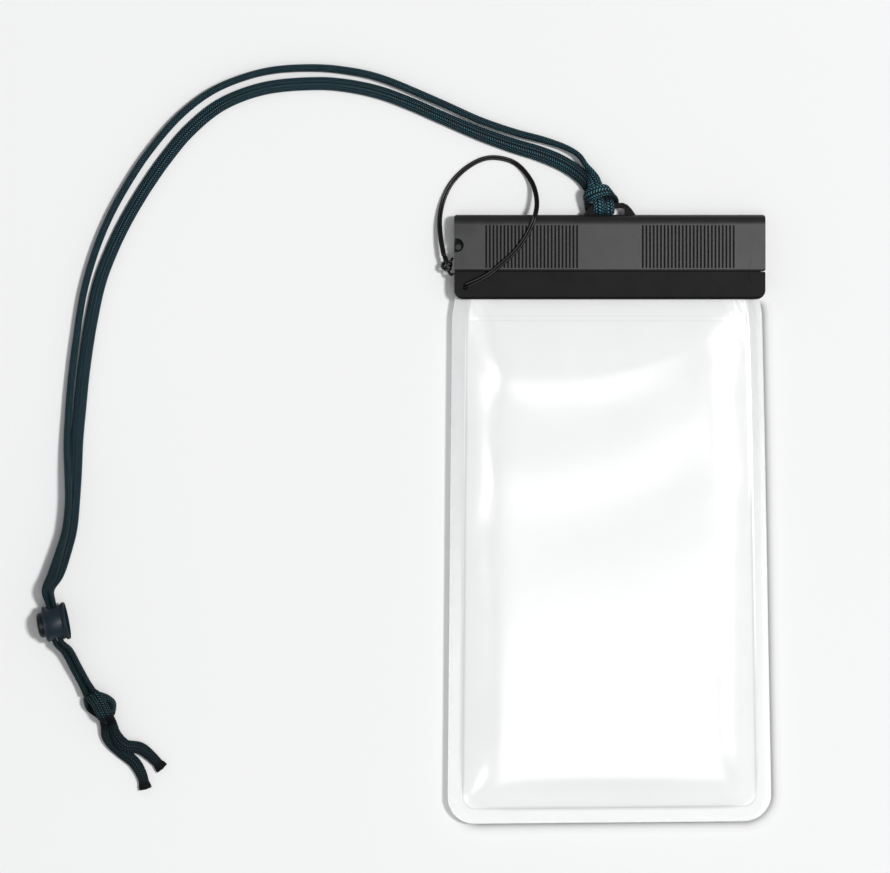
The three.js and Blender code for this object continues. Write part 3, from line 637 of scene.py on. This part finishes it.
class POUCH_OT_lanyard(bpy.types.Operator):
    """Lays the two long strands of the lanyard, from the hitch through the lock to the knot."""
    bl_idname = "pouch.lanyard"
    bl_label = "Lanyard strands"

    def execute(self, context):
        width = settings()[2].width / MM
        # Painted shade: the inner strand where the outer one shades it near the hitch, the outer strand
        # where it stands on edge, and both darker towards the lock and below it.
        for name, rows, nodes, near, painted_shades in (
                ("braid_outer", STRAND_OUTER, ("lanyard_strand_outer", "lanyard_lower_outer"),
                 [(0, 1.12), (8, 1.08), (15, 1.0)], [(0, 0.3), (6, 0.3), (13, 0.95)]),
                ("braid_inner", STRAND_INNER, ("lanyard_strand_inner", "lanyard_lower_inner"),
                 [(0, 1.06), (6, 1.14), (20, 1.2), (34, 1.14)], [(0, 1.6), (7, 1.2), (15, 0.8)])):
            total = length_of(along(rows, 0.5)[0]) / MM
            lock = total - 34  # where the strand enters the barrel
            obj, p = braid(
                name, rows, half_width=width / 2,
                widths=near + [(62, 1.0), (lock - 18, 1.0), (lock, 0.9), (total, 0.94)],
                thins=[(0, 0.74), (14, 0.76), (32, 1.0), (lock - 24, 1.0), (lock - 9, 0.76),
                       (lock - 2.5, 0.75), (lock - 0.5, 0.6), (lock + 9, 0.6), (lock + 11, 0.76),
                       (lock + 22, 0.9), (total, 0.9)],
                painted_shade=painted_shades + [(60, 0.85), (lock - 60, 0.9), (lock - 15, 1.3), (total, 1.35)])
            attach(obj, "slider")
            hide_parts(*nodes)
        return {"FINISHED"}


class POUCH_OT_tails(bpy.types.Operator):
    """Lays the two tails below the knot, with their melted ends."""
    bl_idname = "pouch.tails"
    bl_label = "Lanyard tails"

    SHORTEST_CORD = 0.03

    def execute(self, context):
        width = settings()[2].width / MM
        for name, rows, node in (("tail_left", TAIL_LEFT, "lanyard_tail_left"),
                                 ("tail_right", TAIL_RIGHT, "lanyard_tail_right")):
            total = length_of(along(rows, 0.5)[0]) / MM
            obj, p = braid(name, rows, half_width=width / 2, end=1.14,
                           widths=[(0, 0.64), (6, 0.8), (12, 1.0), (total - 9, 0.92),
                                   (total - 2.6, 0.78), (total - 1.2, 0.96), (total, 0.9)],
                           thins=[(0, 0.7), (8, 0.9), (24, 0.95), (30, 0.8)],
                           # Painted shadow of the knot across the tails' first millimetres; the rest
                           # darker all along.
                           painted_shade=[(0, 2.4), (2.5, 2.1), (5, 1.45), (40, 1.45)])
            gap = np.linalg.norm(points_of(obj.data) / MM - p[-1], axis=1)
            write_attribute(obj.data, "melt", np.clip((MELTED - gap) / CAP, 0, 1))
            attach(obj, "slider")
            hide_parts(node)
        return {"FINISHED"}


class POUCH_OT_hitch(bpy.types.Operator):
    """Ties the braid round the eyelet of the slider bar."""
    bl_idname = "pouch.hitch"
    bl_label = "Hitch"

    def execute(self, context):
        rows = [
            (-5.3, 122.4, 5.2, 0, 0.2, 1), (-4.9, 118.8, 5.7, 0, 0.2, 1), (-4.3, 116.4, 6.3, 0, 0.1, 1),
            (-4.0, 114.2, 6.9, 0, -0.2, 1), (-3.9, 112.3, 6.4, 0, -0.8, 0.8),
            (-3.9, 111.5, 4.8, 0, -1, 0), (-3.9, 112.2, 2.9, 0, -0.9, -0.8),
            (-4.8, 113.0, 1.9, 0, 0, -1), (-6.6, 113.0, 1.8, -0.2, 0, -1),
            (-7.8, 113.4, 3.2, -0.7, 0.1, -0.5), (-8.5, 115.0, 4.9, -1, 0.1, 0.3),
            (-8.3, 116.8, 7.0, -0.7, 0, 0.8), (-6.5, 118.3, 8.9, -0.2, -0.1, 1),
            (-3.8, 119.3, 9.5, 0, -0.1, 1), (-1.6, 119.6, 8.9, 0.3, 0.1, 1),
            (-0.1, 118.9, 7.2, 0.8, 0.4, 0.5), (1.2, 117.4, 6.2, 0.8, 0.5, 0.4),
            (2.4, 116.2, 4.6, 1, 0.3, 0), (1.9, 115.6, 2.9, 0.7, 0.1, -0.7),
            (0.9, 115.0, 1.9, 0.1, 0, -1), (0.0, 113.8, 1.9, 0, 0, -1),
            (-0.1, 112.2, 2.9, 0, -0.9, -0.8), (-0.1, 111.5, 4.8, 0, -1, 0),
            (-0.1, 112.3, 6.4, 0, -0.8, 0.8),
            (-0.2, 114.2, 6.9, 0, -0.2, 1), (-0.7, 116.4, 6.3, 0, 0.1, 1), (-1.9, 118.4, 5.2, 0, 0.2, 1),
            (-4.0, 120.6, 3.4, 0, 0.2, 1)]
        obj = braid("hitch", rows, half_width=2.0, half_thick=0.95, step=0.15, carriers=12, lead=11.4,
                    widths=[(0, 1.3), (5, 1.1), (8, 1.04), (12, 1.04), (19, 0.96), (25, 1.1),
                            (28, 1.3), (31, 1.24), (34, 1.0), (37, 0.7), (41, 0.75), (46, 0.96),
                            (62, 0.96)],
                    # Painted shade on the wraps under the bight's edges and on the bight's two sides.
                    painted_shade=[(0, 0.3), (4, 1.2), (6.0, 1.6), (7.4, 0.0), (11, 0.0), (14, 1.7), (24, 1.6),
                         (27.5, 0.0), (33, 0.0), (35.5, 1.2), (38, 1.7), (47, 1.7), (49, 0.0),
                         (53.4, 0.0), (55, 1.6), (62, 1.3)])[0]
        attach(obj, "slider")
        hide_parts("lanyard_hitch")
        return {"FINISHED"}


def join(name, parts):
    select_only(parts[0])
    for part in parts:
        part.select_set(True)
    bpy.ops.object.join()
    parts[0].name = name
    return parts[0]


class POUCH_OT_end_knot(bpy.types.Operator):
    """Ties the two strands of the lanyard in one overhand knot below the lock."""
    bl_idname = "pouch.end_knot"
    bl_label = "End knot"

    def execute(self, context):
        parts = []
        for i, (dx, dy, dz) in enumerate(((-0.85, -0.5, -0.1), (0.85, 0.5, 0.3))):
            rows = [
                (-191.9, -66.7, 3.2, -0.6, 0.7, 0.5), (-191.6, -66.9, 5.2, -0.5, 0.6, 0.7),
                (-190.8, -67.6, 7.0, 0, 0.2, 1), (-189.2, -69.6, 8.2, 0, 0, 1),
                (-187.7, -72.4, 8.1, 0, 0, 1), (-186.7, -74.6, 7.2, 0.1, -0.2, 1),
                (-186.2, -75.8, 5.0, 0.3, -1, 0), (-186.6, -75.4, 3.0, 0.2, -1, -0.3),
                (-187.8, -74.2, 2.0, 0, -0.2, -1), (-190.1, -72.6, 1.5, 0, 0, -1),
                (-192.3, -70.8, 2.2, -0.7, -0.2, -0.5), (-193.1, -69.0, 3.6, -1, 0.1, 0.4),
                (-191.8, -68.0, 4.3, -0.3, 0.5, 0.8), (-189.3, -68.3, 4.4, 0, 0.7, 0.7),
                (-186.8, -68.9, 5.0, 0.3, 0.9, 0.4), (-184.8, -70.7, 4.8, 1, 0.3, 0.3),
                (-185.0, -73.0, 3.8, 0.9, -0.2, 0.5), (-186.3, -75.0, 3.0, 0.2, -0.2, 1),
                (-187.2, -76.8, 3.0, 0, 0, 1)]
            rows = [(x + dx, y + dy, z + dz, a, b, c) for x, y, z, a, b, c in rows]
            parts.append(braid(
                "knot_%d" % i, rows, half_width=1.9, half_thick=0.95, step=0.15, carriers=12, lead=10.2,
                widths=[(0, 0.6), (2.5, 0.85), (5, 1.0), (60, 1.0)],
                # Painted shade along the knot, deepest where its turns tuck under one another.
                painted_shade=[(0, 1.9), (2.4, 1.7), (3.6, 1.1), (12, 1.2), (14, 2.0), (24, 1.6), (29, 1.0),
                     (60, 1.6)])[0])
        obj = join("end_knot", parts)
        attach(obj, "slider")
        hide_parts("lanyard_end_knot")
        return {"FINISHED"}


class POUCH_OT_tether(bpy.types.Operator):
    """Lays the thin doubled tether from the collar's hole over the slider bar to its knot."""
    bl_idname = "pouch.tether"
    bl_label = "Tether"

    def execute(self, context):
        r = settings()[2].tether / MM / 2
        mat = tether_material()
        line = np.array(TETHER)
        t = unit(np.gradient(line, axis=0))
        side = unit(np.cross(np.array([0, 0, 1.0]), t))
        for name, sign, node in (("tether_outer", 1, "tether_strand_outer"),
                                 ("tether_inner", -1, "tether_strand_inner")):
            rows = [tuple(p) for p in (line - side * 0.42 * sign)]
            if sign > 0:
                rows = [(-53.5, 83.5, 7.2), (-53.6, 83.5, 8.4)] + rows[1:]
            obj, p = rod(name, rows, r, mat)
            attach(obj, "pouch")
            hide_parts(node)
        return {"FINISHED"}


class POUCH_OT_tether_knot(bpy.types.Operator):
    """Ties the small knot that closes the doubled tether."""
    bl_idname = "pouch.tether_knot"
    bl_label = "Tether knot"

    def execute(self, context):
        r = settings()[2].tether / MM / 2
        paths = [
            [(-61.6, 95.6, 5.3), (-60.9, 93.6, 5.8), (-59.8, 92.0, 6.2), (-58.8, 91.6, 5.4),
             (-58.7, 92.6, 4.4), (-59.8, 93.3, 4.2), (-61.2, 92.6, 4.6), (-61.7, 91.4, 5.4),
             (-60.8, 90.3, 6.1), (-59.4, 90.2, 5.9), (-58.5, 90.9, 5.2)],
            [(-60.7, 95.4, 5.3), (-60.2, 93.4, 6.4), (-60.4, 91.6, 6.7), (-61.6, 90.8, 5.6),
             (-62.0, 92.0, 4.6), (-61.0, 93.0, 5.2), (-59.6, 93.2, 6.2), (-58.6, 93.7, 6.0),
             (-58.1, 94.8, 5.7)],
            [(-60.2, 91.0, 5.0), (-59.6, 89.6, 5.6), (-58.7, 88.4, 6.3), (-57.7, 88.9, 6.9)]]
        mat = bpy.data.materials["waxed tether cord"]
        parts = [rod("tie_%d" % i, p, r, mat, step=0.2)[0] for i, p in enumerate(paths)]
        obj = join("tether_tie", parts)
        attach(obj, "pouch")
        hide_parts("tether_knot")
        return {"FINISHED"}


class POUCH_OT_films(bpy.types.Operator):
    """Lofts the front and back films, welded at the sides and the bottom."""
    bl_idname = "pouch.films"
    bl_label = "Films"

    TOP = 81.8  # the film ends there, inside the jaws
    FLAT = 0.47  # height of a welded film over the middle plane
    BLEND = 4.0  # rounds the slope where two sides meet
    SLOPE = 20  # run of the slope from the weld to the flat
    ARCS = ((-24, 44.5, 0.018, 0.0054, 5.0, 0.62), (-36, 8, 0.010, 0.0046, 9.0, 0.7))

    def outline(self, u, v):
        """A place on the film from -1..1 across and 0..1 up, inside its rounded outline."""
        across = (u + 1) / 2
        low = FILM_LOW + FILM_SKEW * across
        y = low + (self.TOP - low) * v
        drop = COLLAR - y
        left = -np.interp(drop, *LEFT_EDGE)
        right = np.interp(drop, *RIGHT_EDGE)
        x = left + (right - left) * across
        r = CORNER
        for sign, edge, base in ((-1, left, FILM_LOW), (1, right, FILM_LOW + FILM_SKEW)):
            cx, cy = edge - sign * r, base + r
            p = np.clip((x - cx) * sign / r, 0, 1)
            q = np.clip((cy - y) / r, 0, 1)
            inside = (p > 0) & (q > 0)
            x = np.where(inside, cx + sign * r * p * np.sqrt(1 - q * q / 2), x)
            y = np.where(inside, cy - r * q * np.sqrt(1 - p * p / 2), y)
        return x, y

    def height(self, x, y, side):
        """Height of one film over the middle plane: its slope, sag, folds and weld ridge. It also
        keeps the distance from the weld, which the material reads."""
        drop = COLLAR - y
        dl = x + np.interp(drop, *LEFT_EDGE)
        dr = np.interp(drop, *RIGHT_EDGE) - x
        db = y - FILM_LOW - FILM_SKEW * (x + 57) / 114
        dist = [e - WELD for e in (dl, dr, db)]
        d = -self.BLEND * np.log(sum(np.exp(-np.clip(e, -5, 90) / self.BLEND) for e in dist))
        d = np.clip(d + 0.2, 0, 60)
        dt = np.clip((83.0 - y) * 0.42, 0, 60)
        rim = 1 - (1 - np.clip(d / self.SLOPE, 0, 1)) ** 2.2
        mouth = np.sin(np.pi / 2 * np.clip(dt / 15, 0, 1)) ** 0.9
        fill = rim * (0.12 + 0.88 * mouth)
        z = self.FLAT + (MID - self.FLAT) * fill
        wave = (np.sin(x * 0.052 + y * 0.031 + 1.1) + 0.7 * np.sin(x * 0.024 - y * 0.058 + 0.4)
                + 0.5 * np.sin(x * 0.11 + 1.7 * np.sin(y * 0.03)))
        sag = 0.08 * (1.1 + wave / 2)
        for x0, y0, left, right, wide, deep in self.ARCS:
            c = y - y0 - np.where(x < x0, left, right) * (x - x0) ** 2
            sag += deep / 2 * (1 - np.tanh(c / wide)) * np.exp(-(np.clip(-c - 8, 0, 90) / 30) ** 2)
        z -= sag * fill
        slack = np.exp(-((d - 7.0) / 5.0) ** 2)
        z += 0.06 * slack * mouth * (np.sin(y * 0.083 + 1.9 * np.sin(y * 0.037) + x * 0.05)
                                     + 0.5 * np.sin(y * 0.21 + 2.3 * np.sin(y * 0.05)))
        fold = np.exp(-np.clip(drop, 0, 60) / 7.0)
        corner = np.exp(-(np.abs(np.abs(x) - 50) / 7.0) ** 2)
        z += 0.25 * fold * corner * np.sin(x * 1.1 + y * 0.5) * np.clip(rim * 3, 0, 1)
        z -= 0.05 * np.exp(-((y - 71.3) / 0.5) ** 2) * np.clip(rim * 3, 0, 1)
        z += 0.11 * np.exp(-((d - 0.35) / 0.4) ** 2) * (side + 1) / 2
        gap = np.minimum(dl, dr)
        rounded = CORNER - np.hypot(CORNER - gap, CORNER - db)
        inset = np.where((gap < CORNER) & (db < CORNER), rounded, np.minimum(gap, db))
        self.inset = np.clip(0.5 + (inset - WELD) / self.SLOPE, 0, 1)
        return np.clip(z, self.FLAT, MID)

    def execute(self, context):
        film = settings()[0]
        mat = self.material(film)
        for name, node, sign in (("pouch_front", "film_front", 1), ("pouch_back", "film_back", -1)):
            bpy.ops.mesh.primitive_grid_add(x_subdivisions=150, y_subdivisions=230, size=2)
            obj = context.active_object
            obj.name = name
            mesh = obj.data
            co = points_of(mesh)
            u = co[:, 0]
            u = np.sign(u) * (1 - (1 - np.abs(u)) ** 1.15)
            x, y = self.outline(u, (co[:, 1] + 1) / 2)
            z = self.height(x, y, sign)
            mesh.vertices.foreach_set(
                "co", (np.stack([x, y, MID + sign * z], axis=1) * MM).reshape(-1))
            mesh.update()
            write_attribute(mesh, "inset", self.inset)
            if sign < 0:
                mesh.flip_normals()
            mesh.materials.append(mat)
            modify(obj, "film thickness", "SOLIDIFY", thickness=film.thickness, offset=-1)
            bpy.ops.object.shade_smooth_by_angle(angle=math.radians(50))
            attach(obj, "pouch")
            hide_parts(node)
        return {"FINISHED"}

    def material(self, film):
        m = Mix("milky clear film")
        haze = m.grey(m.noise(38, 4, 0.6, "haze"), [(0.3, 0.0), (0.75, 1.0)])
        tone = m.blend(haze, tuple(film.tint), (0.97, 0.975, 0.98, 1), "haze tone")
        inset = m.attribute("inset")
        line = m.grey(inset, [(0.485, 0.0), (0.503, 0.0), (0.508, 1.0), (0.522, 0.85), (0.56, 0.0)],
                      "weld line")
        tone = m.blend(line, tone, (0.72, 0.73, 0.74, 1), "weld crease")
        band = m.grey(inset, [(0.49, 0.45), (0.51, 0.0)], "weld band")
        tone = m.blend(band, tone, (0.86, 0.865, 0.87, 1), "weld tone")
        top = m.grey(m.math("SUBTRACT", m.math("MULTIPLY", m.axes()[1], 100), 6.7),
                     [(0.41, 0.0), (0.43, 0.7), (0.46, 0.0), (0.59, 0.0), (0.61, 0.5), (0.64, 0.0)],
                     "mouth line")
        inner = m.grey(inset, [(0.52, 0.0), (0.56, 1.0)], "inside the weld")
        tone = m.blend(m.math("MULTIPLY", top, inner), tone, (0.8, 0.81, 0.82, 1), "mouth crease")
        m.into("Base Color", tone)
        m.into("Roughness", m.grey(m.noise(60, 4, 0.6, "handling"), [(0.3, 0.15), (0.75, 0.22)], "gloss"))
        n = m.bump(m.noise(70, 3, 0.5, "slack"), 0.12, 0.0006, label="slack")
        n = m.bump(line, 0.5, 0.0002, n, "weld edge")
        m.into("Normal", m.bump(m.noise(420, 3, 0.5, "orange peel"), 0.12, 0.00005, n, "peel"))
        # Painted light: the film glows a little, most just inside the weld, to brighten it.
        m.into("Emission Strength",
               m.grey(inset, [(0.48, 0.0), (0.53, 0.13), (0.75, 0.12), (1.0, 0.078)], "painted glow"))
        m.set(Alpha=film.cover, Specular_IOR_Level=0.8, IOR=1.5, Emission_Color=(1, 1, 1, 1))
        return m.mat


class POUCH_OT_collar(bpy.types.Operator):
    """Finishes the two jaws of the collar and the soft seal between them."""
    bl_idname = "pouch.collar"
    bl_label = "Collar"

    def execute(self, context):
        mat = plastic("collar plastic", settings()[1].jaw, 1.35, rough=(0.36, 0.52), specular=0.06,
                      shade=jaw_shade)
        for node, name in (("collar_front", "jaw_front"), ("collar_back", "jaw_back")):
            obj = dressed_copy(node, name, mat, bevel=0.18)
            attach(obj, "pouch")
        hollow = moulded("notch shade", rgb(7, 7, 8), rgb(11, 11, 12), rough=(0.5, 0.62), specular=0.05)
        front = bpy.data.objects["jaw_front"].data
        front.materials.append(hollow)
        front.materials.append(moulded("stud plastic", rgb(28, 28, 29), rgb(36, 36, 37)))
        for face in front.polygons:
            c = face.center / MM
            if math.dist(c[:2], NOTCH) < 2.7 and c.z < STUD_ROOT:
                face.material_index = 1
            elif math.dist(c[:2], STUD) < 1.2 and c.z > STUD_ROOT:
                face.material_index = 2
        m = Mix("seal rubber")
        m.into("Base Color", m.ramp(m.noise(300, 3, 0.6, "rubber tone"),
                                    [(0.3, rgb(150, 152, 150)), (0.7, rgb(176, 178, 175))]))
        m.set(Roughness=0.6)
        obj = dressed_copy("seal_gasket", "seal_strip", m.mat, bevel=0.1)
        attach(obj, "pouch")
        return {"FINISHED"}


class POUCH_OT_slider(bpy.types.Operator):
    """Finishes the slider bar with its grip grooves, notch and eyelet."""
    bl_idname = "pouch.slider"
    bl_label = "Slider bar"

    BAR_TOP = 110.65
    EYELET = 110.9
    GROOVE = 0.4  # depth of a grip groove

    def execute(self, context):
        mat = plastic("slider plastic", settings()[1].bar, 1.3, rough=(0.3, 0.42), specular=0.32,
                      shade=bar_shade)
        obj = dressed_copy("slider_bar", "grip_bar", mat, bevel=0.1, rounder=lambda c: c.y > self.EYELET)
        x, y, z = (points_of(obj.data) / MM).T
        depth = MID - np.abs(z - MID)
        # Depth into the grip recesses, which the slider material turns into painted shade.
        inside = (y > 90.4) & (y < 106.9) & (np.abs(x) > 11) & (np.abs(x) < 47.5) & (depth < 0.5)
        write_attribute(obj.data, "recess", np.where(inside, np.clip(depth / self.GROOVE, 0, 1), 0.0))
        # A dark copy of the bar plastic, painted shade, for the grip grooves and the notch walls.
        obj.data.materials.append(moulded("groove painted shade", rgb(17, 17, 18), rgb(23, 23, 24),
                                          rough=(0.5, 0.62), specular=0.06))
        # A darker copy of the bar plastic for the eyelet: painted shade where the hitch shades it.
        obj.data.materials.append(moulded("eyelet painted shade", rgb(16, 13, 14), rgb(24, 20, 21),
                                          rough=(0.42, 0.55), specular=0.05))
        # Slot 1, painted shade, goes on the grooves and the notch; slot 2, painted shade, on the eyelet.
        for face in obj.data.polygons:
            c = face.center / MM
            deep = MID - abs(c.z - MID)
            if 90.5 < c.y < 106.8 and 11 < abs(c.x) < 47.3 and 0.17 < deep < 0.6:
                face.material_index = 1
            elif c.y > self.BAR_TOP:
                face.material_index = 2
            elif math.dist(c[:2], NOTCH) < 2.75 and deep > 0.25:
                face.material_index = 1
        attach(obj, "slider")
        return {"FINISHED"}


class POUCH_OT_lock(bpy.types.Operator):
    """Finishes the barrel of the cord lock, its push button and its spring."""
    bl_idname = "pouch.cord_lock"
    bl_label = "Cord lock"

    PROFILE = [(-3.7, 4.95), (-3.7, 6.3), (-3.45, 6.62), (-2.95, 6.62), (-2.75, 6.42), (-2.6, 6.36),
               (-2.4, 6.5), (2.9, 6.45), (3.15, 6.3), (3.35, 6.4), (3.55, 6.8), (3.8, 6.95),
               (4.6, 6.95), (4.9, 6.65), (4.9, 0.0), (3.9, 0.0), (3.9, 4.95)]

    def cut(self, obj, name, cutter):
        select_only(obj)
        modify(obj, name, "BOOLEAN", operation="DIFFERENCE", object=cutter)
        bpy.data.objects.remove(cutter)

    def barrel(self, mat):
        """Spins the barrel's section round its axis and cuts the hole that the cord passes."""
        bpy.ops.mesh.primitive_circle_add(vertices=len(self.PROFILE), radius=MM)
        obj = bpy.context.active_object
        obj.name = "lock_barrel"
        for vert, (s, r) in zip(obj.data.vertices, self.PROFILE):
            vert.co = Vector((s, 0, r)) * MM
        bpy.ops.object.mode_set(mode="EDIT")
        bpy.ops.mesh.select_all(action="SELECT")
        bpy.ops.mesh.spin(steps=72, angle=2 * math.pi, center=(0, 0, 0), axis=(1, 0, 0))
        bpy.ops.mesh.select_all(action="SELECT")
        bpy.ops.mesh.remove_doubles(threshold=2e-6)
        bpy.ops.mesh.dissolve_degenerate(threshold=1e-6)
        bpy.ops.mesh.normals_make_consistent(inside=False)
        bpy.ops.object.mode_set(mode="OBJECT")
        bpy.ops.mesh.primitive_cube_add(size=1, scale=(0.0044, 0.018, 0.005))
        cutter = bpy.context.active_object
        modify(cutter, "round", "BEVEL", width=0.0009, segments=4)
        self.cut(obj, "cord hole", cutter)
        for n in (-7.2, 7.2):
            bpy.ops.mesh.primitive_uv_sphere_add(segments=40, ring_count=24, radius=MM,
                                                 location=(0, n * MM, 0), scale=(2.5, 2.6, 4.7))
            cutter = bpy.context.active_object
            bpy.ops.object.transform_apply(location=True, rotation=False, scale=True)
            self.cut(obj, "flared mouth", cutter)
        modify(obj, "rounded edges", "BEVEL", width=0.00012, segments=2, limit_method="ANGLE",
               angle_limit=math.radians(50))
        obj.data.transform(Matrix.Translation(Vector(LOCK) * MM) @ Matrix.Rotation(LOCK_TURN, 4, "Z"))
        obj.data.materials.clear()
        obj.data.materials.append(mat)
        bpy.ops.object.shade_smooth_by_angle(angle=math.radians(40))
        return obj

    def execute(self, context):
        lock = settings()[1].lock
        body = self.barrel(plastic("lock plastic", lock, 1.35, rough=(0.4, 0.5)))
        body.data.materials.append(plastic("lock end", lock, 1, rough=(0.6, 0.7), specular=0.0))
        for face in body.data.polygons:
            if face.normal.x * LOCK_AXIS[0] + face.normal.y * LOCK_AXIS[1] > 0.95:
                face.material_index = 1
        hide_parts("cord_lock_body")
        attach(body, "slider")
        dark = moulded("button plastic", rgb(16, 22, 25), rgb(24, 32, 36), rough=(0.32, 0.46))
        button = dressed_copy("cord_lock_plunger", "push_button", dark, bevel=0.22, segments=3)
        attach(button, "lock_button")
        m = Mix("spring steel")
        m.into("Base Color", m.ramp(m.noise(800, 2, 0.5, "wire tone"),
                                    [(0.3, (0.42, 0.42, 0.43, 1)), (0.7, (0.56, 0.56, 0.57, 1))]))
        m.set(Metallic=1.0, Roughness=0.28)
        spring = dressed_copy("cord_lock_spring", "return_spring", m.mat, bevel=0)
        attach(spring, "slider")
        return {"FINISHED"}


class POUCH_PT_panel(bpy.types.Panel):
    bl_idname = "POUCH_PT_panel"
    bl_label = "Phone pouch"
    bl_space_type = "VIEW_3D"
    bl_region_type = "UI"
    bl_category = "Pouch"

    def draw(self, context):
        for op in OPERATORS:
            self.layout.operator(op.bl_idname)
        for group in (context.scene.pouch_film, context.scene.pouch_shell, context.scene.pouch_cord):
            for key in group.__annotations__:
                self.layout.prop(group, key)


OPERATORS = (POUCH_OT_stage, POUCH_OT_lanyard, POUCH_OT_tails, POUCH_OT_tether, POUCH_OT_hitch,
             POUCH_OT_end_knot, POUCH_OT_tether_knot, POUCH_OT_films, POUCH_OT_collar,
             POUCH_OT_slider, POUCH_OT_lock)
GROUPS = (("pouch_film", PouchFilmSettings), ("pouch_shell", PouchShellSettings),
          ("pouch_cord", PouchCordSettings))


def register():
    for name, group in GROUPS:
        bpy.utils.register_class(group)
        setattr(bpy.types.Scene, name, bpy.props.PointerProperty(type=group))
    for cls in OPERATORS + (POUCH_PT_panel,):
        bpy.utils.register_class(cls)


def unregister():
    for cls in reversed(OPERATORS + (POUCH_PT_panel,)):
        bpy.utils.unregister_class(cls)
    for name, group in reversed(GROUPS):
        delattr(bpy.types.Scene, name)
        bpy.utils.unregister_class(group)


def main():
    register()
    for op in OPERATORS:
        getattr(bpy.ops.pouch, op.bl_idname.split(".")[1])()


if __name__ == "__main__":
    main()
